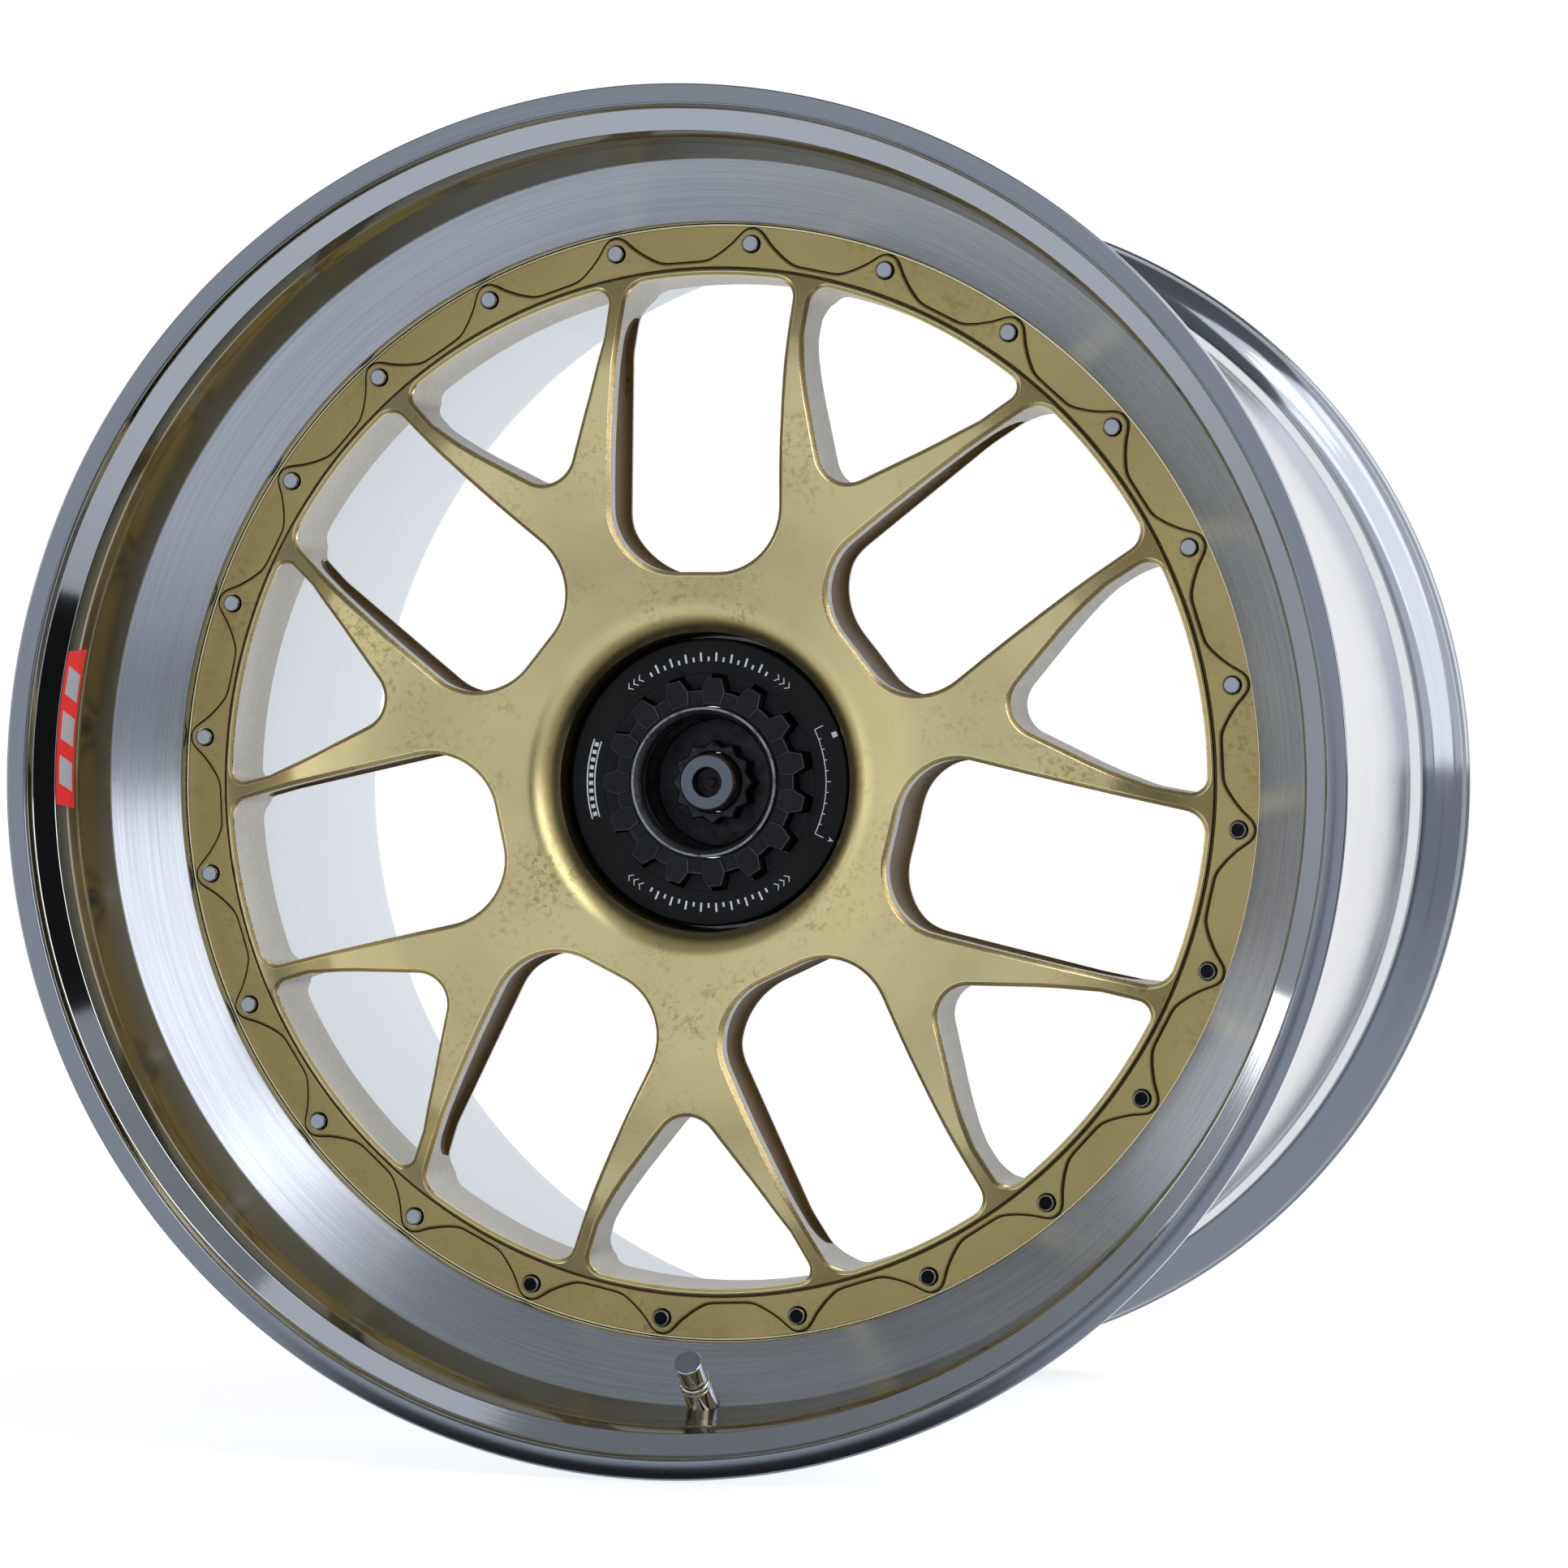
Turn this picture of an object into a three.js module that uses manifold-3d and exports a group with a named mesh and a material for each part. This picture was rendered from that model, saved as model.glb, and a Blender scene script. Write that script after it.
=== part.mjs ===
// Forged three-piece racing wheel rim: a seven-Y centre, two rim halves, 24 rim bolts,
// a centre-lock nut with its spring lock, and a metal tyre valve.
// Millimetres. The spin axis is Y, the street side faces -Y, +Z is up,
// and the origin is on the axis halfway across the width.

import * as THREE from 'three';
import { mergeVertices } from 'three/addons/utils/BufferGeometryUtils.js';
import Module from 'manifold-3d';

// ---- driving dimensions -------------------------------------------------
const WIDTH = 363;
const FRONT = -WIDTH / 2;
const REAR = WIDTH / 2;
const FLANGE_R = 248.5;
const GAP = 0.3;
const ROUND = 56;

const SPOKES = 7;
const STEM_ANGLE = -90.65;
const WINDOW_HALF = 32.1;
const WINDOW_INNER = 77.2;
const WINDOW_INNER_CORNER = 24;
const WINDOW_OUTER = 187.6;
const WINDOW_OUTER_CORNER = 8;
const POCKET_DEPTH = 2.6;
const POCKET_OUTER = 177;
const APEX_R = 122.7;

const BOLTS = 24;
const BOLT_CIRCLE = 199.7;
const BOLT_PHASE = 10.06;
const BOLT_R = 3;
const BOLT_HOLE_R = 3.4;

const FLANGE_FACE = FRONT + 72;
const FLANGE_BACK = FRONT + 84;
const CENTRE_R = 206.8;
const REGISTER_R = 207.1;
const PILOT_R = 190.2;
const RING_BACK = FRONT + 103.5;
const MOUNT_FACE = FRONT + 108;
const RECESS_R = 55.6;
const RECESS_FLOOR = FRONT + 93;
const BORE_R = 36.4;

const OUTER_MOUNT_BACK = FRONT + 90.3;
const INNER_MOUNT_FRONT = FRONT + 90.6;
const INNER_MOUNT_BACK = FRONT + 97;

const DRIVE_PINS = 5;
const DRIVE_CIRCLE = 46.5;
const BUSH_R = 7.4;
const BUSH_BORE = 5.4;
const SOCKET_R = 7.8;

const NUT_R = 53.6;
const NUT_FACE = FRONT + 75;
const NUT_WEB = FRONT + 83;
const NUT_BACK = FRONT + 86.5;
const NUT_TUBE_R = 35.2;
const NUT_TUBE_END = FRONT + 105.6;
const TEETH = 15;
const STUD_FLANK = [[2.8, 34.75], [5.4, 40], [5.4, 41]];
const CROWN_FACE = FRONT + 68.2;
const CROWN_BORE = 28.3;
const CROWN_VALLEY = 34.1;
const CROWN_FLANK = [[3.2, 29.2], [4.5, 33.5], [2.6, 38.7]];

const SLEEVE_R = 27.9;
const SLEEVE_FACE = FRONT + 67;
const SLEEVE_BORE = 24.6;
const SLEEVE_END = FRONT + 106;
const STAR_POINTS = 12;
const STAR_TIP = 15.6;
const STAR_ROOT = 13.4;
const STAR_FACE = FRONT + 79.5;
const PIN_R = 10.9;
const PIN_FACE = FRONT + 72;

const VALVE_ANGLE = -88.7;
const VALVE_FOOT = [227.2, FRONT + 49.6];
const VALVE_LEAN = [-0.67, -0.742];
const SPOT_FACE_R = 6.9;
const CAP_END = 25.9;

const wasm = await Module();
wasm.setup();

// ---- solids ---------------------------------------------------------------
function asManifold(geometry) {
  const bare = geometry.clone();
  bare.deleteAttribute('normal');
  bare.deleteAttribute('uv');
  const merged = mergeVertices(bare, 1e-4);
  const corners = merged.index.array;
  const faces = [];
  for (let i = 0; i < corners.length; i += 3) {
    const [a, b, c] = corners.slice(i, i + 3);
    if (a !== b && b !== c && c !== a) faces.push([a, b, c]);
  }
  const build = (list) => new wasm.Manifold(new wasm.Mesh({
    numProp: 3,
    vertProperties: new Float32Array(merged.attributes.position.array),
    triVerts: new Uint32Array(list.flat()),
  }));
  const solid = build(faces);
  return solid.volume() > 0 ? solid : build(faces.map(([a, b, c]) => [a, c, b]));
}

function asGeometry(solid) {
  const mesh = solid.getMesh();
  const points = new Float32Array(mesh.numVert * 3);
  for (let i = 0; i < mesh.numVert; i += 1) {
    for (let k = 0; k < 3; k += 1) points[i * 3 + k] = mesh.vertProperties[i * mesh.numProp + k];
  }
  const geometry = new THREE.BufferGeometry();
  geometry.setAttribute('position', new THREE.BufferAttribute(points, 3));
  geometry.setIndex(new THREE.BufferAttribute(new Uint32Array(mesh.triVerts), 1));
  geometry.computeVertexNormals();
  return geometry;
}

// A body turned about the wheel axis from [radius, y] corners.
function turned(corners, sides = ROUND, phase = 0) {
  const loop = corners.map(([r, y]) => new THREE.Vector2(r, y));
  const onAxis = corners[0][0] === 0 && corners[corners.length - 1][0] === 0;
  if (!onAxis) loop.push(loop[0].clone());
  return asManifold(new THREE.LatheGeometry(loop, sides, THREE.MathUtils.degToRad(phase)));
}

// A prism with an [x, z] outline running from y0 to y1.
function prism(outline, y0, y1) {
  const shape = new THREE.Shape(outline.map(([x, z]) => new THREE.Vector2(x, z)));
  const body = new THREE.ExtrudeGeometry(shape, { depth: y1 - y0, bevelEnabled: false });
  body.rotateX(Math.PI / 2);
  body.translate(0, y1, 0);
  return asManifold(body);
}

function spin([x, z], degrees) {
  const a = THREE.MathUtils.degToRad(degrees);
  return [x * Math.cos(a) - z * Math.sin(a), x * Math.sin(a) + z * Math.cos(a)];
}

function onCircle(radius, degrees) {
  return spin([radius, 0], degrees);
}

function arc(cx, cz, radius, from, to, steps) {
  const points = [];
  for (let i = 0; i <= steps; i += 1) {
    const [x, z] = onCircle(radius, from + ((to - from) * i) / steps);
    points.push([cx + x, cz + z]);
  }
  return points;
}

// Makes a closed outline from its right half; the outline points along +z.
function mirrored(half) {
  const left = half.slice().reverse().filter(([x]) => x > 1e-6).map(([x, z]) => [-x, z]);
  return [...half, ...left];
}

// A round bar along the wheel axis, seated at a place given as [x, z].
function bar([x, z], radius, y0, y1, sides = 8, phase = 0) {
  return turned([[0, y0], [radius, y0], [radius, y1], [0, y1]], sides, phase).translate([x, 0, z]);
}

function repeated(count, make) {
  return Array.from({ length: count }, (_, i) => make(i));
}

function minus(body, cutters) {
  return cutters.reduce((left, cutter) => left.subtract(cutter), body);
}

const boltPlaces = repeated(BOLTS, (i) => onCircle(BOLT_CIRCLE, BOLT_PHASE + (360 / BOLTS) * i));
const boltHoles = boltPlaces.map((place) => bar(place, BOLT_HOLE_R, FLANGE_FACE - 5, FRONT + 110, 6));

// ---- wheel centre -----------------------------------------------------------
function windowOutline(grow, outer) {
  const half = WINDOW_HALF + grow;
  const corner = WINDOW_INNER_CORNER + grow;
  const tight = WINDOW_OUTER_CORNER;
  const cx = half - tight;
  const cz = Math.sqrt((outer - tight) ** 2 - cx ** 2);
  const turn = THREE.MathUtils.radToDeg(Math.atan2(cz, cx));
  return mirrored([
    ...arc(half - corner, WINDOW_INNER - grow + corner, corner, -90, 0, 4),
    ...arc(cx, cz, tight, 0, turn, 2),
    ...arc(0, 0, outer, turn, 90, 2).slice(1),
  ]);
}

function triangleOutline() {
  const nose = 11.5;
  const tight = 5.5;
  const cx = 42.4 - tight;
  const cz = Math.sqrt((WINDOW_OUTER - tight) ** 2 - cx ** 2);
  const turn = THREE.MathUtils.radToDeg(Math.atan2(cz, cx));
  return mirrored([
    ...arc(0, APEX_R + nose, nose, -90, -38, 2),
    [23.8, 145.8],
    [36.8, 164.6],
    ...arc(cx, cz, tight, -28, turn, 3),
    ...arc(0, 0, WINDOW_OUTER, turn, 90, 1).slice(1),
  ]);
}

function padOutline() {
  const half = [[0, 192.7], [3.2, 193.2], [6.2, 202.4], [6.8, 208]];
  return mirrored(half.map(([degrees, radius]) => {
    const [z, x] = onCircle(radius, degrees);
    return [x, z];
  }));
}

function aimed(outline, degrees) {
  return outline.map((point) => spin(point, degrees - 90));
}

function wheelCentre() {
  const face = [[64.5, 57], [84, 53], [118, 50], [145, 52.4], [167, 59.2], [188, 70.6], [191, 72]];
  const back = [[184.5, 103.5], [177, 88], [163, 80.5], [98, 80.5], [80, 92], [68, 108]];
  const fromFront = ([r, y]) => [r, FRONT + y];
  const disc = turned([
    [RECESS_R, RECESS_FLOOR],
    [RECESS_R, FRONT + 67],
    ...face.map(fromFront),
    [CENTRE_R, FLANGE_FACE],
    [CENTRE_R, FLANGE_BACK],
    [PILOT_R, FLANGE_BACK],
    [PILOT_R, RING_BACK],
    ...back.map(fromFront),
    [BORE_R, MOUNT_FACE],
    [BORE_R, RECESS_FLOOR],
  ]);
  const sill = [[68, 64], [118, 58], [145, 60.4], [177, 72]].map(fromFront);
  const floor = [[177, 85], [163, 78.3], [98, 78.3], [68, 97]].map(fromFront);
  const pocketRoom = turned([...sill, ...floor]);
  const windowAngles = repeated(SPOKES, (i) => STEM_ANGLE + (360 / SPOKES) * (i + 0.5));
  const stemAngles = repeated(SPOKES, (i) => STEM_ANGLE + (360 / SPOKES) * i);
  const through = (outline, degrees) => prism(aimed(outline, degrees), FRONT + 40, FRONT + 120);
  const windows = windowAngles.map((a) => through(windowOutline(0, WINDOW_OUTER), a));
  const triangles = stemAngles.map((a) => through(triangleOutline(), a));
  const pockets = windowAngles.map((a) => through(windowOutline(POCKET_DEPTH, POCKET_OUTER), a)
    .intersect(pocketRoom));
  const pads = repeated(BOLTS, (i) => prism(
    aimed(padOutline(), BOLT_PHASE + (360 / BOLTS) * (i + 0.5)), FLANGE_FACE - 2, FLANGE_FACE + 1.6));
  const sockets = repeated(DRIVE_PINS, (i) => bar(
    onCircle(DRIVE_CIRCLE, 90 + (360 / DRIVE_PINS) * i), SOCKET_R, FRONT + 97, MOUNT_FACE + 5, 12));
  return minus(disc, [...windows, ...triangles, ...pockets, ...pads, ...sockets, ...boltHoles]);
}

// ---- rim halves -------------------------------------------------------------
function outerRimHalf() {
  const bowl = [[248.5, 0], [241.3, 0], [240.2, 4.7], [234.4, 7.9], [230.6, 22], [228.3, 50], [207.1, 68.5]];
  const tyreSide = [[213, 72], [232.6, 54.6], [236.4, 40], [234.4, 31], [235, 17.5], [240.5, 11.5], [248.5, 5]];
  const fromFront = ([r, y]) => [r, FRONT + y];
  const body = turned([
    ...bowl.map(fromFront),
    [REGISTER_R, FLANGE_BACK + GAP],
    [PILOT_R + GAP, FLANGE_BACK + GAP],
    [PILOT_R + GAP, OUTER_MOUNT_BACK],
    [213, OUTER_MOUNT_BACK],
    ...tyreSide.map(fromFront),
  ]);
  return minus(body, [...boltHoles, valveHole()]);
}

function innerRimHalf() {
  const tyreSide = [[213.5, 112], [229.5, 134], [229.5, 314], [234.5, 330], [233, 345], [241, 352],
    [248.5, 358.6]];
  const bore = [[235.5, 363], [229.5, 350], [225.3, 328], [225.3, 140], [208, 115]];
  const fromFront = ([r, y]) => [r, FRONT + y];
  const body = turned([
    [213, INNER_MOUNT_FRONT],
    ...tyreSide.map(fromFront),
    [FLANGE_R, REAR],
    ...bore.map(fromFront),
    [208, INNER_MOUNT_BACK],
    [PILOT_R + GAP, INNER_MOUNT_BACK],
    [PILOT_R + GAP, INNER_MOUNT_FRONT],
  ]);
  return minus(body, boltHoles);
}

function rimSealRing() {
  const seat = FRONT + 90.45;
  return turned([[213.5, seat - 2], [216, seat - 2], [216, seat + 2], [213.5, seat + 2]], 48);
}

function rimBolt(place) {
  const tip = FLANGE_FACE - 1.7;
  const seat = INNER_MOUNT_BACK + GAP;
  return turned([
    [0, tip],
    [BOLT_R - 0.5, tip],
    [BOLT_R, tip + 0.6],
    [BOLT_R, seat],
    [5.6, seat],
    [5.6, seat + 6],
    [0, seat + 6],
  ], 6).translate([place[0], 0, place[1]]);
}

// ---- centre lock ------------------------------------------------------------
// Adds a ring of teeth whose right flank is given as [half width, radius] corners.
function withTeeth(body, flank, y0, y1, phase) {
  const outline = mirrored(flank);
  const teeth = repeated(TEETH, (i) => prism(aimed(outline, phase + (360 / TEETH) * i), y0, y1));
  return teeth.reduce((whole, tooth) => whole.add(tooth), body);
}

function centreNut() {
  const body = turned([
    [40.2, NUT_FACE],
    [NUT_R - 0.8, NUT_FACE],
    [NUT_R, NUT_FACE + 0.8],
    [NUT_R, NUT_BACK],
    [NUT_TUBE_R, NUT_BACK],
    [NUT_TUBE_R, NUT_TUBE_END],
    [31.4, NUT_TUBE_END],
    [31.4, NUT_WEB],
    [40.2, NUT_WEB],
  ], 40);
  return withTeeth(body, STUD_FLANK, NUT_FACE + 0.4, NUT_WEB + 1, 0);
}

function toolCrown() {
  const back = NUT_WEB - GAP;
  const hoop = ring(CROWN_BORE, CROWN_VALLEY, CROWN_FACE, back, 30);
  return withTeeth(hoop, CROWN_FLANK, CROWN_FACE, back, 180 / TEETH);
}

function lockSleeve() {
  return turned([
    [26.4, SLEEVE_FACE],
    [27.3, SLEEVE_FACE],
    [SLEEVE_R, SLEEVE_FACE + 0.7],
    [SLEEVE_R, SLEEVE_END],
    [SLEEVE_BORE, SLEEVE_END],
    [SLEEVE_BORE, FRONT + 72],
    [25.6, FRONT + 69.5],
  ], 36);
}

function lockPlunger() {
  const star = repeated(STAR_POINTS * 2, (i) => onCircle(
    i % 2 ? STAR_ROOT : STAR_TIP, (180 / STAR_POINTS) * i));
  const head = prism(star, STAR_FACE, FRONT + 91);
  const skirt = bar([0, 0], 24.2, FRONT + 90, FRONT + 93, 32);
  return head.add(skirt).subtract(bar([0, 0], PIN_R + GAP + 0.2, FRONT + 70, FRONT + 110, 24));
}

function plungerPin() {
  return turned([
    [0, PIN_FACE + 7],
    [5.6, PIN_FACE + 7],
    [5.6, PIN_FACE],
    [9.9, PIN_FACE],
    [PIN_R, PIN_FACE + 1],
    [PIN_R, FRONT + 105],
    [0, FRONT + 105],
  ], 24);
}

// A coil spring about the wheel axis, as a swept round wire.
function plungerSpring() {
  const turns = 3.5;
  const wire = 0.8;
  const radius = 14.5;
  const y0 = FRONT + 94.2;
  const y1 = FRONT + 101.2;
  class Coil extends THREE.Curve {
    getPoint(t, target = new THREE.Vector3()) {
      const a = t * turns * 2 * Math.PI;
      return target.set(radius * Math.cos(a), y0 + (y1 - y0) * t, radius * Math.sin(a));
    }
  }
  const section = new THREE.Shape(arc(0, 0, wire, 0, 288, 4).map(([x, z]) => new THREE.Vector2(x, z)));
  return asManifold(new THREE.ExtrudeGeometry(section, {
    steps: 36, bevelEnabled: false, extrudePath: new Coil(),
  }));
}

function ring(inner, outer, y0, y1, sides = 36) {
  return turned([[inner, y0], [outer, y0], [outer, y1], [inner, y1]], sides);
}

// ---- valve: turned parts along their own axis, then laid on the rim -------------
function onValve(solid) {
  const [r, y] = VALVE_FOOT;
  const lean = THREE.MathUtils.radToDeg(Math.atan2(-VALVE_LEAN[0], -VALVE_LEAN[1]));
  const [x, z] = onCircle(1, VALVE_ANGLE);
  const foot = [r * x, y, r * z];
  return solid.rotate([0, 0, 180 - lean])
    .rotate([0, -VALVE_ANGLE, 0])
    .translate(foot);
}

function valveHole() {
  return onValve(turned([
    [0, -16],
    [4.5, -16],
    [4.5, 0],
    [SPOT_FACE_R, 0],
    [SPOT_FACE_R, 12],
    [0, 12],
  ], 12));
}

const valveParts = {
  valve_stem: () => turned([
    [0, -12.4], [7.4, -12.4], [7.4, -10.5], [4, -10.5], [4, 21], [1.7, 21], [1.7, 12], [0, 12],
  ], 12),
  valve_grommet: () => turned([[4.4, -10.2], [8, -10.2], [8.4, -9.2], [8, -7.8], [4.4, -7.8]], 12),
  valve_nut: () => turned([[4.5, 0.4], [5.9, 0.4], [5.9, 14.4], [5.5, 14.9], [4.5, 14.9]], 12),
  valve_core_pin: () => turned([[0, 14.5], [1.2, 14.5], [1.2, 21.6], [0, 21.6]], 6),
  valve_cap: () => turned([
    [4.4, 15.4], [5.2, 15.4], [5.2, CAP_END - 0.4], [4.8, CAP_END], [0, CAP_END], [0, CAP_END - 2.4],
    [4.4, CAP_END - 2.4],
  ], 12),
  valve_cap_seal: () => turned([[1.9, 21.9], [4, 21.9], [4, 23.2], [1.9, 23.2]], 12),
};

// ---- assembly ---------------------------------------------------------------
const finishes = {
  gold: { color: 0xa89c66, metalness: 0.85, roughness: 0.45 },
  satin_aluminium: { color: 0x9aa2b0, metalness: 1, roughness: 0.3 },
  black_anodised: { color: 0x16181c, metalness: 0.6, roughness: 0.55 },
  steel: { color: 0x6f7580, metalness: 1, roughness: 0.4 },
  chrome: { color: 0xd8dade, metalness: 1, roughness: 0.12 },
  rubber: { color: 0x101010, metalness: 0, roughness: 0.8 },
  brass: { color: 0xb08d4a, metalness: 1, roughness: 0.35 },
};

const assembly = new THREE.Group();
assembly.name = 'forged_racing_wheel_rim';

function place(name, solid, finish) {
  const mesh = new THREE.Mesh(asGeometry(solid), new THREE.MeshStandardMaterial(finishes[finish]));
  mesh.name = name;
  assembly.add(mesh);
}

place('wheel_centre', wheelCentre(), 'gold');
place('outer_rim_half', outerRimHalf(), 'satin_aluminium');
place('inner_rim_half', innerRimHalf(), 'satin_aluminium');
place('rim_seal_ring', rimSealRing(), 'rubber');
place('nut_seat_ring', ring(37.2, 54.8, FRONT + 89.7, RECESS_FLOOR - GAP, 36), 'steel');
place('thrust_ring', ring(36.4, 53, NUT_BACK + GAP, FRONT + 89.4, 36), 'brass');
place('centre_nut', centreNut(), 'black_anodised');
place('tool_crown', toolCrown(), 'black_anodised');
place('lock_sleeve', lockSleeve(), 'steel');
place('lock_plunger', lockPlunger(), 'steel');
place('plunger_pin', plungerPin(), 'steel');
place('plunger_spring', plungerSpring(), 'steel');
place('retaining_ring', ring(12.2, 24.2, FRONT + 102.4, FRONT + 104.4), 'steel');
for (let i = 0; i < DRIVE_PINS; i += 1) {
  const [x, z] = onCircle(DRIVE_CIRCLE, 90 + (360 / DRIVE_PINS) * i);
  place(`drive_bush_${i + 1}`, ring(BUSH_BORE, BUSH_R, FRONT + 97 + GAP, MOUNT_FACE - GAP, 12)
    .translate([x, 0, z]), 'steel');
}
const valveFinish = { valve_grommet: 'rubber', valve_cap_seal: 'rubber', valve_core_pin: 'brass' };
for (const [name, make] of Object.entries(valveParts)) {
  place(name, onValve(make()), valveFinish[name] ?? 'chrome');
}
boltPlaces.forEach((at, i) => place(`rim_bolt_${String(i + 1).padStart(2, '0')}`, rimBolt(at), 'chrome'));

export default assembly;
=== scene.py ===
import math

import bmesh
import bpy
import numpy as np
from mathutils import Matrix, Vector
from mathutils.geometry import delaunay_2d_cdt


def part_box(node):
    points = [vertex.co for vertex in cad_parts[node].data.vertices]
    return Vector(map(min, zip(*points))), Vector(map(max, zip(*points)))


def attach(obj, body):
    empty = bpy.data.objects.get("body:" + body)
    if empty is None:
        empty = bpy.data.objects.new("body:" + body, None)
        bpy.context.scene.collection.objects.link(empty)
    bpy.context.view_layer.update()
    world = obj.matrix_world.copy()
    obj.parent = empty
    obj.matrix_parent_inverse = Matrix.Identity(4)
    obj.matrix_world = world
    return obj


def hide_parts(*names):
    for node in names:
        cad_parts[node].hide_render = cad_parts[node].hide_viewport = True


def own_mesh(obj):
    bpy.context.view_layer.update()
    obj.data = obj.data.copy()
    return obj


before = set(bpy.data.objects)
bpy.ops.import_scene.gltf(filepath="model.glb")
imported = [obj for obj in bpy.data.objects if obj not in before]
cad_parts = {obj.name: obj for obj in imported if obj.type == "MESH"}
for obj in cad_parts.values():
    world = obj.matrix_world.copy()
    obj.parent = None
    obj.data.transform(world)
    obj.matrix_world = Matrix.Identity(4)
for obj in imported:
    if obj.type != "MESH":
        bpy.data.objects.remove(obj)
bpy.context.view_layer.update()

# The object's shapes are in millimetres: R is the distance from the spin axis, and y is the
# depth behind the street-side face of the rim. The stage, lights and camera are in metres.
MM = 0.001
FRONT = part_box("outer_rim_half")[0].y
REAR_Y = (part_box("inner_rim_half")[1].y - FRONT) / MM
SEGMENTS = 288
SPOKES = 7
STEM_ANGLE = -90.65
BOLTS = 24
BOLT_CIRCLE = 199.7
BOLT_PHASE = 10.06
BOLT_STEP = 360 / BOLTS
BOLT_HOLE = 3.4
DRIVE_PINS = 5
DRIVE_CIRCLE = 46.5
HUB_BORE = 36.4
HUB_EDGE = 68
HUB_FACE = 108
FLANGE_FACE = 72.0
FLANGE_BACK = 84
FLANGE_STEP = 73.5
FLANGE_EDGE = 206.8
PILOT = 190.2
TEETH = 15
TOOTH_STEP = 360 / TEETH


# ---- mesh building -----------------------------------------------------------
class Shell:
    """Collects vertices and faces in (x, y, z) millimetres, each face with a material slot."""

    def __init__(self):
        self.points, self.faces, self.slots, self.count = [], [], [], 0

    def add(self, points, faces, slots):
        self.points.append(np.asarray(points, float))
        self.faces += [[i + self.count for i in f] for f in faces]
        self.slots += list(slots) if hasattr(slots, "__len__") else [slots] * len(faces)
        self.count += len(points)

    def finish(self, name, materials, body, nodes, sharp=28, merge=0.004):
        co = np.concatenate(self.points) * MM
        co[:, 1] += FRONT
        mesh = bpy.data.meshes.new(name)
        mesh.from_pydata(co.tolist(), [], self.faces)
        for m in materials:
            mesh.materials.append(m)
        mesh.polygons.foreach_set("material_index", self.slots)
        bm = bmesh.new()
        bm.from_mesh(mesh)
        bmesh.ops.remove_doubles(bm, verts=bm.verts, dist=merge * MM)
        bmesh.ops.dissolve_degenerate(bm, dist=merge * MM, edges=bm.edges)
        bmesh.ops.recalc_face_normals(bm, faces=bm.faces)
        bm.to_mesh(mesh)
        bm.free()
        mesh.shade_smooth()
        mesh.set_sharp_from_angle(angle=math.radians(sharp))
        obj = bpy.data.objects.new(name, mesh)
        bpy.context.scene.collection.objects.link(obj)
        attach(obj, body)
        if nodes:
            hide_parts(*nodes)
        return obj


def rounded(corners, closed=True, steps=4):
    """Rounds the corners of a profile of (R, y) or (R, y, radius) with short arcs."""
    n = len(corners)
    out = []
    for i, corner in enumerate(corners):
        here = np.array(corner[:2], float)
        radius = corner[2] if len(corner) > 2 else 0
        if radius <= 0 or (not closed and i in (0, n - 1)):
            out.append(here)
            continue
        back = np.array(corners[i - 1][:2], float) - here
        ahead = np.array(corners[(i + 1) % n][:2], float) - here
        reach = min(radius, 0.48 * np.linalg.norm(back), 0.48 * np.linalg.norm(ahead))
        a = here + back / np.linalg.norm(back) * reach
        b = here + ahead / np.linalg.norm(ahead) * reach
        for t in np.linspace(0, 1, steps + 1):
            out.append((1 - t) ** 2 * a + 2 * t * (1 - t) * here + t * t * b)
    return np.array(out)


def lathe(shell, profile, slot=0, closed=True, segments=SEGMENTS, centre=(0, 0)):
    """Turns a profile of (R, y) about an axis parallel to y. slot may be a function of (R, y)."""
    profile = np.asarray(profile, float)
    n = len(profile)
    a = np.arange(segments) * 2 * math.pi / segments
    x = centre[0] + np.outer(np.cos(a), profile[:, 0])
    z = centre[1] + np.outer(np.sin(a), profile[:, 0])
    y = np.broadcast_to(profile[:, 1], x.shape)
    faces, slots = [], []
    last = n if closed else n - 1
    for j in range(last):
        k = (j + 1) % n
        mid = (profile[j] + profile[k]) / 2
        kind = slot(*mid) if callable(slot) else slot
        on_a, on_b = profile[j][0] < 1e-6, profile[k][0] < 1e-6
        if on_a and on_b:
            continue
        for i in range(segments):
            q = (i + 1) % segments
            if on_a:
                faces.append([i * n + j, i * n + k, q * n + k])
            elif on_b:
                faces.append([i * n + j, i * n + k, q * n + j])
            else:
                faces.append([i * n + j, i * n + k, q * n + k, q * n + j])
            slots.append(kind)
    shell.add(np.stack([x.ravel(), y.ravel(), z.ravel()], 1), faces, slots)


def circle(radius, step=2.0, centre=(0, 0), count=None, phase=0.0):
    n = count or max(12, int(2 * math.pi * radius / step))
    a = math.radians(phase) + np.arange(n) * 2 * math.pi / n
    return np.stack([centre[0] + radius * np.cos(a), centre[1] + radius * np.sin(a)], 1)


def arc(cx, cz, radius, start, end, n):
    a = np.radians(np.linspace(start, end, n))
    return np.stack([cx + radius * np.cos(a), cz + radius * np.sin(a)], 1)


def turned_by(points, degrees):
    a = math.radians(degrees)
    c, s = math.cos(a), math.sin(a)
    return np.asarray(points) @ np.array([[c, s], [-s, c]])


def mirrored(half):
    half = np.asarray(half, float)
    left = half[::-1][half[::-1][:, 0] > 1e-6] * [-1, 1]
    return np.concatenate([half, left])


def resampled(loop, step):
    closed = np.concatenate([loop, loop[:1]])
    along = np.concatenate([[0], np.cumsum(np.linalg.norm(np.diff(closed, axis=0), axis=1))])
    n = max(8, int(round(along[-1] / step)))
    t = np.arange(n) * along[-1] / n
    return np.stack([np.interp(t, along, closed[:, 0]), np.interp(t, along, closed[:, 1])], 1)


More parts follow.
